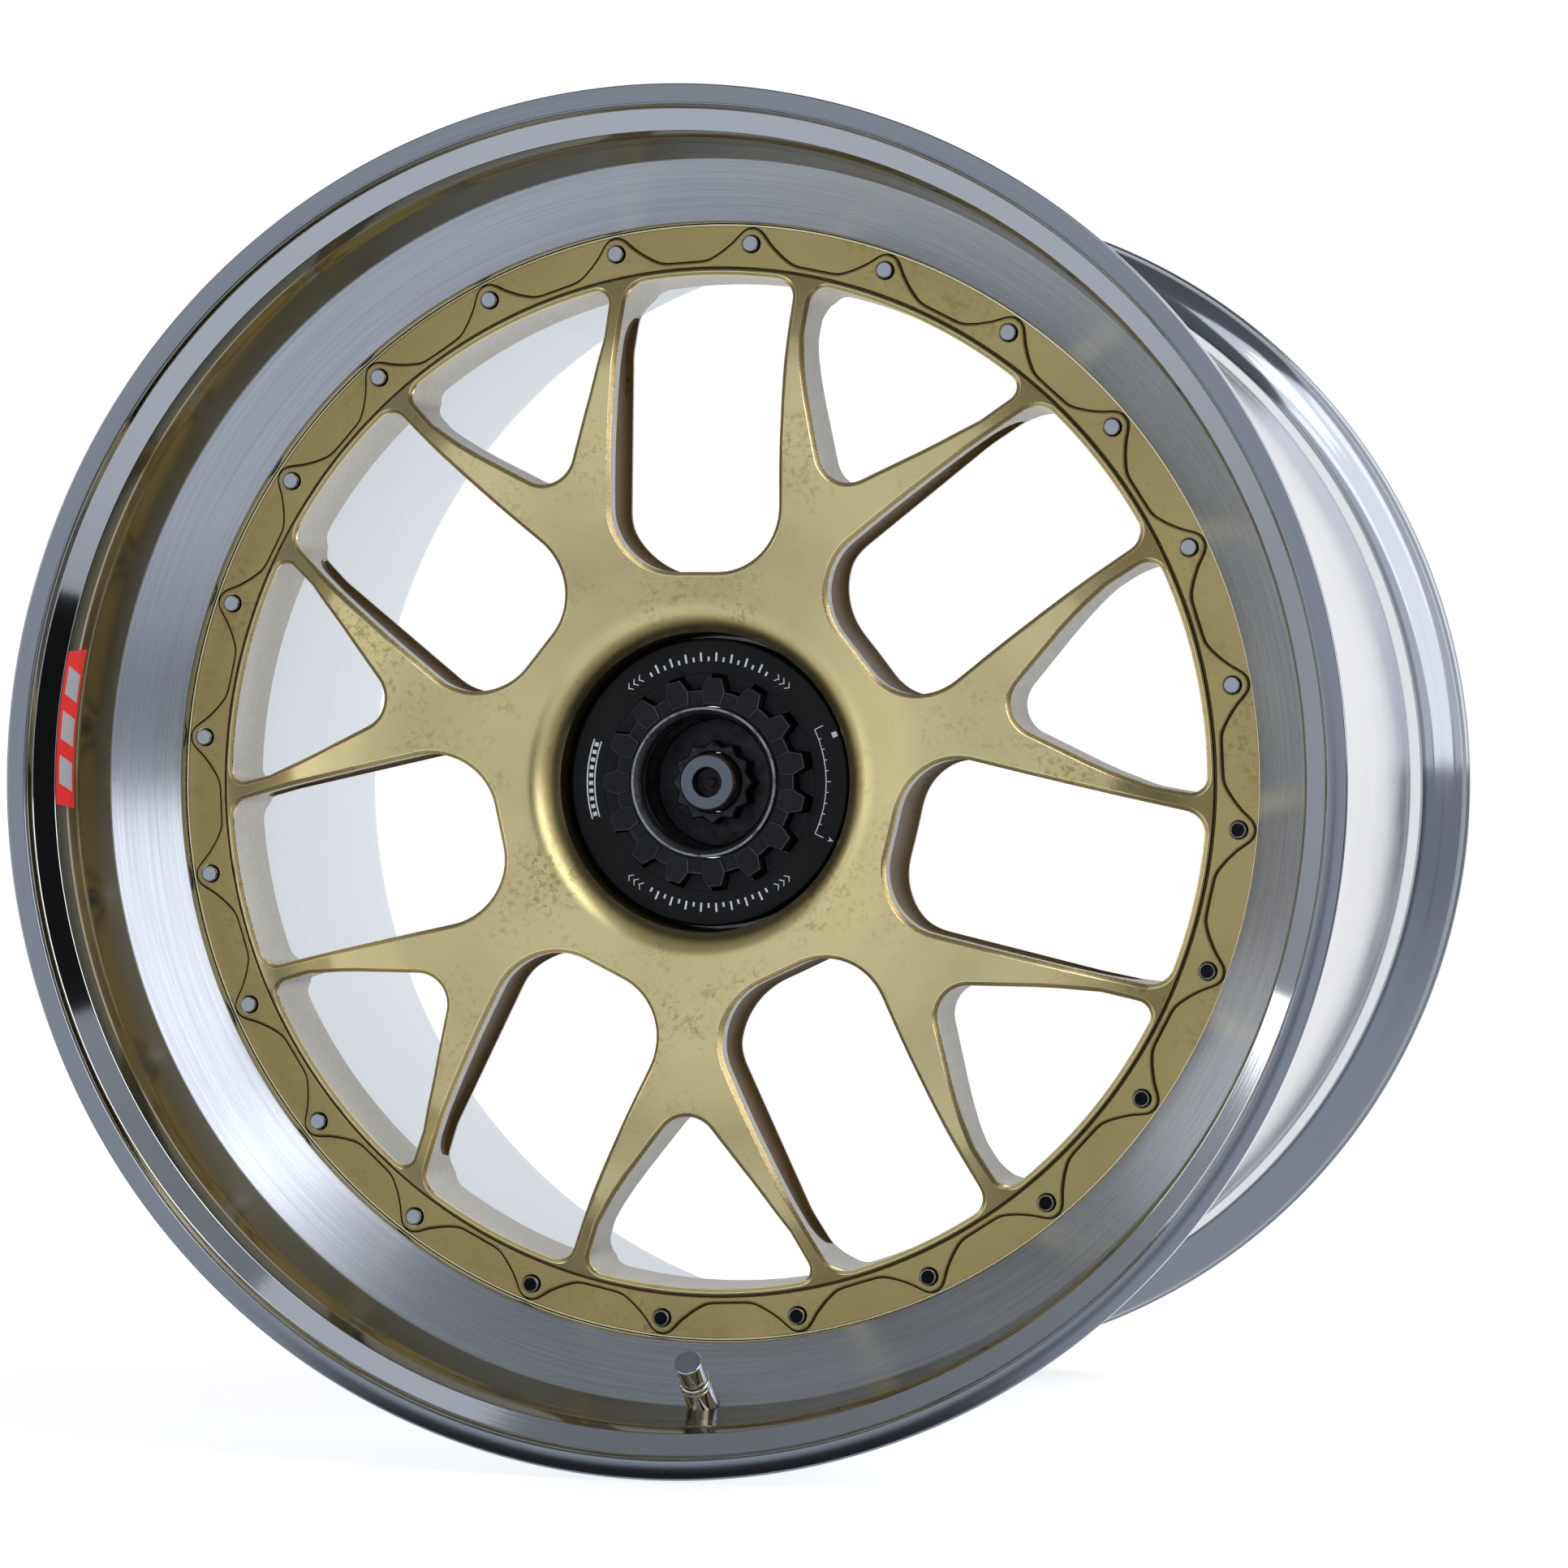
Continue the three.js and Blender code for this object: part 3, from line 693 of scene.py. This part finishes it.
def inner_half():
    shell = Shell()
    barrel, bore, bead_shade, bead_groove_painted_shade = range(4)
    outside = [(213, 90.6), (213.5, 112, 6), (229.5, 134, 8), (229.5, 314, 8), (233.4, 326, 5),
               (233.6, 337, 2), (231.6, 339, 1), (231.6, 342, 1), (236.5, 346.5, 2.5),
               (241.5, 349.2, 3), (246.2, 353.2, 3), (247.6, 357.5, 1),
               (246.9, 358.6, 0.5), (248.5, 359.6, 0.6), (248.5, REAR_Y - 0.4, 0.4)]
    inside = [(247.9, REAR_Y, 0.4), (244.9, REAR_Y, 0.3), (244.6, REAR_Y - 0.8, 0.2),
              (240.6, REAR_Y - 0.8, 0.5), (236.0, REAR_Y - 2.5, 0.8), (232.0, 352, 3),
              (225.6, 334, 6), (225.3, 140, 10), (208, 115, 6),
              (208, 97), (190.5, 97), (190.5, 90.6)]

    def finish_at(r, y):
        if r < 227 and y > 96:
            return bore
        # The two grooves in the rear bead are near-black: painted shade.
        if r > 231 and (338.6 < y < 343 or 356.8 < y < 359):
            return bead_groove_painted_shade
        # The rear bead is coloured darker than the barrel as painted shade.
        return bead_shade if r > 231 and y > 324 else barrel

    lathe(shell, rounded(outside + inside), finish_at, segments=360)
    finishes = [BARREL_OUT, BARREL_IN, BEAD_SHADE, BEAD_GROOVE_SHADE]
    return shell.finish("inner_half_visual", finishes, "wheel", ["inner_rim_half"], sharp=24)


outer_half()
inner_half()


# ---- rim bolts ---------------------------------------------------------------------
def hexagon(radius, centre, phase=0.0):
    return circle(radius, count=6, centre=centre, phase=phase)


def rim_bolts():
    for i in range(BOLTS):
        shell = Shell()
        angle = BOLT_PHASE + BOLT_STEP * i
        p = turned_by([(BOLT_CIRCLE, 0)], angle)[0]
        tip = rounded([(0, 70.3), (2.48, 70.3), (2.65, 70.3, 0.12), (3.0, 70.8, 0.2), (3.0, 97.3)],
                      closed=False)
        lathe(shell, tip, 0, closed=False, segments=32, centre=p)
        washer = rounded([(3.0, 97.3), (5.5, 97.3, 0.2), (5.5, 98.6, 0.2), (5.0, 98.7)], closed=False)
        lathe(shell, washer, 0, closed=False, segments=32, centre=p)
        lathe(shell, [(5.0, 98.7), (0, 98.7)], 0, closed=False, segments=32, centre=p)
        head = hexagon(5.5, p, angle)
        slab(shell, head, [], 98.5, 102.6, 0.0, (0, 0, 0))
        rings = [at_height(head, 102.6), at_height(p + (head - p) * 0.86, 103.3)]
        strips(shell, rings, [0])
        sheet(shell, [p + (head - p) * 0.86], 103.3, 0)
        name = f"rim_bolt_{i + 1:02d}"
        shell.finish(f"{name}_visual", [BOLT_TIP], "wheel", [name], sharp=30)


rim_bolts()


# ---- centre lock ---------------------------------------------------------------------
def tooth_loop(flank, angle):
    return turned_by(mirrored(flank), angle - 90)


def centre_nut():
    shell = Shell()
    ring = rounded([(40.2, 75.3, 0.3), (40.5, 75, 0.3), (52.9, 75, 0.5), (53.6, 75.8, 0.4), (53.6, 86.5),
                    (35.2, 86.5), (35.2, 105.6), (31.4, 105.6), (31.4, 83), (40.2, 83)])
    lathe(shell, ring, 0, segments=240)
    for i in range(TEETH):
        stud = tooth_loop([(2.8, 34.75), (5.4, 40.0), (5.45, 40.6)], TOOTH_STEP * i)
        slab(shell, stud, [], 75.15, 83.4, 0.35, (1, 2, 0))
    finishes = [NUT_BLACK, CROWN_BLACK, CROWN_EDGE]
    return shell.finish("centre_nut_visual", finishes, "centre_nut", ["centre_nut"])


def tool_crown():
    shell = Shell()
    hoop = rounded([(28.3, 69.2), (33.8, 69.2, 0.3), (34.1, 69.5, 0.2), (34.1, 82.7), (28.3, 82.7)])
    lathe(shell, hoop, lambda r, y: 1 if r > 33.7 and y < 69.6 else 0, segments=180)
    for i in range(TEETH):
        tooth = tooth_loop([(3.2, 29.0), (4.5, 33.5), (2.6, 38.7)], TOOTH_STEP * (i + 0.5))
        slab(shell, tooth, [], 68.2, 82.6, 0.3, (0, 1, 0))
    finishes = [CROWN_BLACK, CROWN_EDGE]
    return shell.finish("tool_crown_visual", finishes, "centre_nut", ["tool_crown"])


def lock_sleeve():
    shell = Shell()
    wall = rounded([(26.9, 67.0, 0.25), (27.6, 67.0, 0.2), (27.9, 67.4, 0.2), (27.9, 106), (24.6, 106),
                    (24.6, 76.5, 0.4), (23.9, 76.0, 0.2), (23.9, 73.6, 0.3),
                    (25.0, 72.6, 0.5), (25.3, 70.2, 0.4)])
    lathe(shell, wall, lambda r, y: 0 if y < 71.5 or r > 27.5 else 1, segments=200)
    finishes = [SLEEVE_STEEL, SLEEVE_DARK]
    return shell.finish("lock_sleeve_visual", finishes, "centre_nut", ["lock_sleeve"])


def lock_plunger():
    shell = Shell()
    a = np.radians(np.arange(0, 360, 15))
    star = np.stack([np.cos(a), np.sin(a)], 1) * np.where(np.arange(24) % 2, 13.4, 15.6)[:, None]
    slab(shell, star, [circle(11.35, count=60)], 79.5, 90.3, 0.45, (0, 0, 0))
    skirt = rounded([(11.4, 90), (23.7, 90, 0.3), (24.2, 90.5, 0.3), (24.2, 93), (11.4, 93)])
    lathe(shell, skirt, 0, segments=120)
    return shell.finish("lock_plunger_visual", [STAR_STEEL], "plunger", ["lock_plunger"])


def plunger_pin():
    shell = Shell()
    side = rounded([(0, 79), (5.3, 79, 0.3), (5.6, 78.4), (5.6, 72.3, 0.2), (5.9, 72, 0.2), (9.8, 72, 0.3),
                    (10.9, 73.5, 0.5), (10.9, 105), (0, 105)], closed=False)
    lathe(shell, side, lambda r, y: 0 if y < 72.2 and r > 5.7 else (1 if r > 9.7 else 2),
          closed=False, segments=96)
    slab(shell, hexagon(2.0, (0, 0), 12), [], 78.2, 79.3, 0.25, (2, 2, 2))
    finishes = [PIN_FACE, PIN_RUST, STAR_STEEL]
    return shell.finish("plunger_pin_visual", finishes, "plunger", ["plunger_pin"])


centre_nut()
tool_crown()
lock_sleeve()
lock_plunger()
plunger_pin()


# ---- white marks on the nut --------------------------------------------------------
MARK_Y, MARK_THICK, MARK_SINK, MARK_CIRCLE = 75.0, 0.06, 0.05, 46.6


def mark(name, loops):
    shell = Shell()
    for loop in loops:
        area = 0.5 * np.sum(loop[:, 0] * np.roll(loop[:, 1], -1) - np.roll(loop[:, 0], -1) * loop[:, 1])
        outline = loop if area > 0 else loop[::-1]
        slab(shell, outline, [], MARK_Y - MARK_THICK, MARK_Y + MARK_SINK, 0.01, (0, 0, 0))
    return shell.finish(name, [MARK_WHITE], "centre_nut", [], merge=0.0005)


def arc_band(r0, r1, start, end):
    n = max(3, int(abs(end - start) / 1.5))
    return np.concatenate([arc(0, 0, r1, start, end, n), arc(0, 0, r0, end, start, n)])


def bar_at(angle, r0, r1, width):
    return turned_by([(r0, -width / 2), (r1, -width / 2), (r1, width / 2), (r0, width / 2)], angle)


def chevron(angle, direction):
    """A small V that points round the nut."""
    reach, half, thick = 1.3 * direction, 1.5, 0.38
    low, high = MARK_CIRCLE - half, MARK_CIRCLE + half
    v = [(low, -reach / 2), (MARK_CIRCLE, reach / 2), (high, -reach / 2),
         (high, -reach / 2 - thick * direction), (MARK_CIRCLE, reach / 2 - thick * direction * 1.25),
         (low, -reach / 2 - thick * direction)]
    return turned_by(v, angle)


def nut_marks():
    loops = []
    for middle in (90, -90):
        for side in (-1, 1):
            loops += [chevron(middle + side * (41 - 3.1 * k), side) for k in range(3)]
        loops += [bar_at(middle + a, 44.9, 48.2 if k % 2 else 46.6, 0.75)
                  for k, a in enumerate(np.linspace(-29, 29, 17))]
    mark("direction_marks", loops)
    mark("left_band_mark", [arc_band(44.0, 44.5, 160, 197), arc_band(46.9, 47.4, 160, 197)]
         + [bar_at(a, 44.9, 46.5, 1.5) for a in np.linspace(162, 195, 10)])
    ticks = [arc_band(44.85, 45.2, -25, 25.5)]
    for k, a in enumerate(np.linspace(-25, 25.5, 11)):
        ticks.append(bar_at(a, 45.1, 48.6 if k in (0, 10) else (46.9 if k == 5 else 46.1), 0.32))
    mark("scale_marks", ticks)
    mark("scale_signs", [bar_at(20, 50.3, 52.3, 2.0),
                         turned_by([(50.2, -0.9), (52.6, 0), (50.2, 0.9), (51.0, 0)], -24.6)])


nut_marks()


# ---- tyre valve ------------------------------------------------------------------------
VALVE_ANGLE = -88.7
VALVE_FOOT = (227.2, 49.6)
VALVE_LEAN = (-0.67, -0.742)


def valve_frame():
    a = math.radians(VALVE_ANGLE)
    radial = np.array([math.cos(a), 0, math.sin(a)])
    foot = radial * VALVE_FOOT[0] + np.array([0, VALVE_FOOT[1], 0])
    along = radial * VALVE_LEAN[0] + np.array([0, VALVE_LEAN[1], 0])
    along /= np.linalg.norm(along)
    side = np.cross(along, [0, 1, 0])
    side /= np.linalg.norm(side)
    return foot, along, side, np.cross(along, side)


def on_valve(name, profile, slot, materials, body, nodes, segments=64):
    """Turns a profile of (radius, distance along the valve) and lays it on the rim."""
    shell = Shell()
    lathe(shell, profile, slot, closed=profile[0][0] > 0, segments=segments)
    foot, along, side, across = valve_frame()
    shell.points = [foot + p[:, :1] * side + p[:, 1:2] * along + p[:, 2:] * across for p in shell.points]
    return shell.finish(name, materials, body, nodes, sharp=30)


on_valve("valve_stem_visual", rounded([
    (0, -12.4), (7.4, -12.4, 0.3), (7.4, -10.5, 0.3), (4, -10.5), (4, 15.2), (4.0, 16, 0.2), (3.8, 16.2),
    (3.8, 20.8, 0.3), (3.5, 21, 0.2), (1.7, 21), (1.7, 12), (0, 12)], closed=False),
    0, [CHROME], "wheel", ["valve_stem"])
on_valve("valve_grommet_visual", rounded([
    (4.4, -10.2, 0.3), (8, -10.2, 0.5), (8.4, -9.2, 0.4), (8, -7.8, 0.4), (4.4, -7.8, 0.3)]),
    0, [RUBBER], "wheel", ["valve_grommet"])
on_valve("valve_nut_visual", rounded([
    (4.5, 0.4), (5.7, 0.4, 0.2), (5.9, 0.9, 0.2), (5.9, 12.2, 0.3), (5.6, 12.6, 0.2), (5.6, 13.1, 0.2),
    (5.8, 13.4, 0.2), (5.8, 14.4, 0.3), (5.4, 14.9, 0.2), (4.5, 14.9)]),
    0, [CHROME], "wheel", ["valve_nut"])
on_valve("valve_core_visual", rounded([
    (0, 14.5), (1.2, 14.5), (1.2, 21.3, 0.2), (0.9, 21.6, 0.1), (0, 21.6)], closed=False),
    0, [BRASS], "valve_core", ["valve_core_pin"], 24)
on_valve("valve_cap_visual", rounded([
    (4.4, 15.4), (5.0, 15.4, 0.1), (5.2, 15.7, 0.15), (5.2, 16.9, 0.15), (5.05, 17.1, 0.1),
    (5.05, 17.4, 0.1), (5.2, 17.6, 0.15), (5.2, 25.5, 0.3), (4.85, 25.9, 0.2),
    (0, 25.9), (0, 23.5), (4.4, 23.5)]),
    lambda r, t: 1 if t > 25.8 and r < 4.95 else 0,
    [CHROME, CAP_FACE], "valve_cap", ["valve_cap"])
on_valve("valve_cap_seal_visual", rounded([
    (1.9, 21.9, 0.3), (4, 21.9, 0.3), (4, 23.2, 0.3), (1.9, 23.2, 0.3)]),
    0, [RUBBER], "cap_seal", ["valve_cap_seal"], 48)


# ---- generic sticker on the bowl wall ----------------------------------------------------
def bowl_radius(y):
    return np.interp(y, [4.7, 9.1, 16, 22, 24.5, 50], [240.2, 232.9, 231.2, 230.6, 230.2, 228.3])


def sticker(name, outline, lift, mat):
    """A thin patch that follows the bowl wall. outline is in (degrees, depth y)."""
    shell = Shell()
    outline = np.asarray(outline, float)
    points, faces = [], []
    rows, cols, sink = 12, 60, 0.05
    (a0, y0), (a1, y1), (a2, y2), (a3, y3) = outline
    for i in range(rows + 1):
        v = i / rows
        for j in range(cols + 1):
            u = j / cols
            a = (a0 * (1 - u) + a1 * u) * (1 - v) + (a3 * (1 - u) + a2 * u) * v
            y = (y0 * (1 - u) + y1 * u) * (1 - v) + (y3 * (1 - u) + y2 * u) * v
            points.append((math.radians(a), y))
    points = np.array(points)
    r = bowl_radius(points[:, 1])
    top, base = (np.stack([at * np.cos(points[:, 0]), points[:, 1], at * np.sin(points[:, 0])], 1)
                 for at in (r - lift, r + sink))
    width = cols + 1
    for i in range(rows):
        for j in range(cols):
            q = [i * width + j, i * width + j + 1, (i + 1) * width + j + 1, (i + 1) * width + j]
            faces.append(q)
            faces.append([k + len(top) for k in q[::-1]])
    edge = (list(range(width)) + [i * width + cols for i in range(1, rows + 1)]
            + [rows * width + j for j in range(cols - 1, -1, -1)]
            + [i * width for i in range(rows - 1, 0, -1)])
    for k, e in enumerate(edge):
        f = edge[(k + 1) % len(edge)]
        faces.append([e, f, f + len(top), e + len(top)])
    shell.add(np.concatenate([top, base]), faces, 0)
    return shell.finish(name, [mat], "wheel", [], merge=0.0005)


sticker("lip_sticker_red", [(168.0, 9.5), (182.0, 9.5), (182.4, 20.8), (167.6, 20.8)], 0.12, STICKER_RED)
for k in range(3):
    start = 169.3 + 4.1 * k
    slanted = [(start, 11.2), (start + 2.6, 11.2), (start + 3.4, 19.2), (start + 0.8, 19.2)]
    sticker(f"lip_sticker_bar_{k + 1}", slanted, 0.2, STICKER_SILVER)


# ---- plunger spring --------------------------------------------------------------------------
def plunger_spring():
    """A round-wire coil. Its rear end sits by the retaining ring, and its front end at the plunger."""
    turns, wire, radius, front, back = 3.5, 0.8, 14.5, 94.2, 101.2
    stations, sides = 169, 12
    rings = []
    for t in np.linspace(0, 1, stations):
        a = t * turns * 2 * math.pi
        outward = np.array([math.cos(a), 0, math.sin(a)])
        middle = outward * radius + np.array([0, front + (back - front) * t, 0])
        rings.append(np.array([middle + wire * (math.cos(b) * outward + math.sin(b) * np.array([0, 1, 0]))
                               for b in np.linspace(0, 2 * math.pi, sides, endpoint=False)]))
    shell = Shell()
    strips(shell, rings, [0] * (len(rings) - 1))
    for end in (rings[0], rings[-1]):
        shell.add(end, [list(range(len(end)))], 0)
    coil = shell.finish("plunger_spring_visual", [STEEL], "centre_nut", ["plunger_spring"],
                        merge=0.001)
    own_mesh(coil)


plunger_spring()


# ---- parts that keep their CAD shape -------------------------------------------------------
def repaint(name, mat):
    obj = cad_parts[name]
    obj.data.materials.clear()
    obj.data.materials.append(mat)


for name, mat in (("rim_seal_ring", RUBBER), ("nut_seat_ring", STEEL), ("thrust_ring", BRASS),
                  ("retaining_ring", STEEL)):
    repaint(name, mat)
for i in range(DRIVE_PINS):
    repaint(f"drive_bush_{i + 1}", STEEL)


# ---- stage, light and camera ------------------------------------------------------------------
STAGE_HALF = 9
BACKDROP_Y = 3.2
LAMP_DISTANCE = 3.2
COOL_WHITE = (0.88, 0.93, 1.0)


def card(name, corners, mat, camera=True, diffuse=True, glossy=True):
    mesh = bpy.data.meshes.new(name)
    mesh.from_pydata(corners, [], [list(range(len(corners)))])
    mesh.materials.append(mat)
    obj = bpy.data.objects.new(name, mesh)
    bpy.context.scene.collection.objects.link(obj)
    obj.visible_camera, obj.visible_diffuse, obj.visible_glossy = camera, diffuse, glossy


def glow(name, colour, strength, base=0.0):
    m = bpy.data.materials.new(name)
    m.use_nodes = True
    shader = m.node_tree.nodes["Principled BSDF"]
    shader.inputs["Base Color"].default_value = (base, base, base, 1)
    shader.inputs["Roughness"].default_value = 0.9
    shader.inputs["Emission Color"].default_value = (*colour, 1)
    shader.inputs["Emission Strength"].default_value = strength
    return m


floor_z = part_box("outer_rim_half")[0].z - 0.0006
pale = glow("pale_floor", (1, 1, 1), 0.55, base=0.8)
card("floor", [(x * STAGE_HALF, y * STAGE_HALF, floor_z) for x, y in ((-1, -1), (1, -1), (1, 1), (-1, 1))],
     pale, glossy=False)

world = bpy.data.worlds.new("studio")
bpy.context.scene.world = world
world.use_nodes = True
SKY = [(-1.0, 0.90), (-0.5, 0.85), (-0.2, 0.60), (0.0, 0.60), (0.3, 0.50), (0.6, 0.36), (1.0, 0.26)]
direction = node(world, "ShaderNodeTexCoord")
height = node(world, "ShaderNodeSeparateXYZ")
link(world, direction.outputs["Generated"], height.inputs[0])
shade = node(world, "ShaderNodeValToRGB")
link(world, ramp(world, height.outputs["Z"], -1, 1), shade.inputs[0])
while len(shade.color_ramp.elements) < len(SKY):
    shade.color_ramp.elements.new(0.5)
for element, (z, value) in zip(shade.color_ramp.elements, SKY):
    element.position = (z + 1) / 2
    element.color = (*(c * value for c in COOL_WHITE), 1)
link(world, shade.outputs[0], world.node_tree.nodes["Background"].inputs["Color"])

white = glow("backdrop_white", (1, 1, 1), 1.0)
card("backdrop", [(x * STAGE_HALF, BACKDROP_Y, z) for x, z in ((-1, -3), (1, -3), (1, 6), (-1, 6))], white)
black = glow("dark_card", (0, 0, 0), 0.0)


def dark_card(name, corners):
    """A black flag that only shows in reflections, as a studio has for polished metal."""
    card(name, corners, black, camera=False, diffuse=False)


def bright_card(name, corners, strength, colour=COOL_WHITE):
    """A pale wall that only shows in reflections."""
    card(name, corners, glow(name, colour, strength), camera=False, diffuse=False)


def dark_arc(name, inner, outer, start, end):
    """A curved flag where the flat front faces of the rim, between two angles, see themselves reflect."""
    middle_x, depth, steps = -1.13, -4.0, 30
    ends = [(radius, math.radians(angle)) for radius, a, b in ((inner, start, end), (outer, end, start))
            for angle in (a + (b - a) * i / steps for i in range(steps + 1))]
    dark_card(name, [(middle_x + radius * math.cos(a), depth, radius * math.sin(a)) for radius, a in ends])


dark_arc("bolt_flag", 0.59, 0.74, 238, 362)
dark_arc("band_flag", 0.74, 1.5, 238, 302)
bright_card("front_card", [(-6.6, -4.3, -1.4), (1.8, -4.3, -1.4), (1.8, -4.3, 6.0), (-6.6, -4.3, 6.0)], 0.84)
bright_card("left_card", [(-3.4, -1.6, -0.8), (-2.4, -2.9, -0.8), (-2.4, -2.9, 0.8), (-3.4, -1.6, 0.8)], 1.5,
            (1, 1, 1))
dark_card("right_front_card", [(1.9, -4.2, -1.3), (4.0, -3.0, -1.3), (4.0, -3.0, 1.6), (1.9, -4.2, 1.6)])


def softbox(name, direction, size, power):
    d = Vector(direction).normalized()
    lamp = bpy.data.lights.new(name, "AREA")
    lamp.shape = "RECTANGLE"
    lamp.size, lamp.size_y = size
    lamp.energy = power
    obj = bpy.data.objects.new(name, lamp)
    bpy.context.scene.collection.objects.link(obj)
    obj.location = d * LAMP_DISTANCE
    obj.rotation_euler = d.to_track_quat("Z", "Y").to_euler()


softbox("right_box", (0.787, -0.418, 0.454), (1.5, 3.0), 33)
softbox("rear_box", (0.877, 0.155, 0.454), (3.0, 3.0), 27)
softbox("high_box", (0.46, -0.52, 0.76), (1.3, 1.0), 7)
softbox("left_box", (-0.93, -0.15, 0.34), (1.2, 0.9), 9)

camera = bpy.data.cameras.new("camera")
camera.lens = 106.80
camera.sensor_width = 36.0
eye = bpy.data.objects.new("camera", camera)
bpy.context.scene.collection.objects.link(eye)
eye.location = (0.47316, -1.76735, -0.00069)
eye.rotation_euler = Vector((-0.25838, 0.96604, 0.0)).to_track_quat("-Z", "Y").to_euler()
bpy.context.scene.camera = eye
bpy.context.scene.view_settings.view_transform = "Standard"
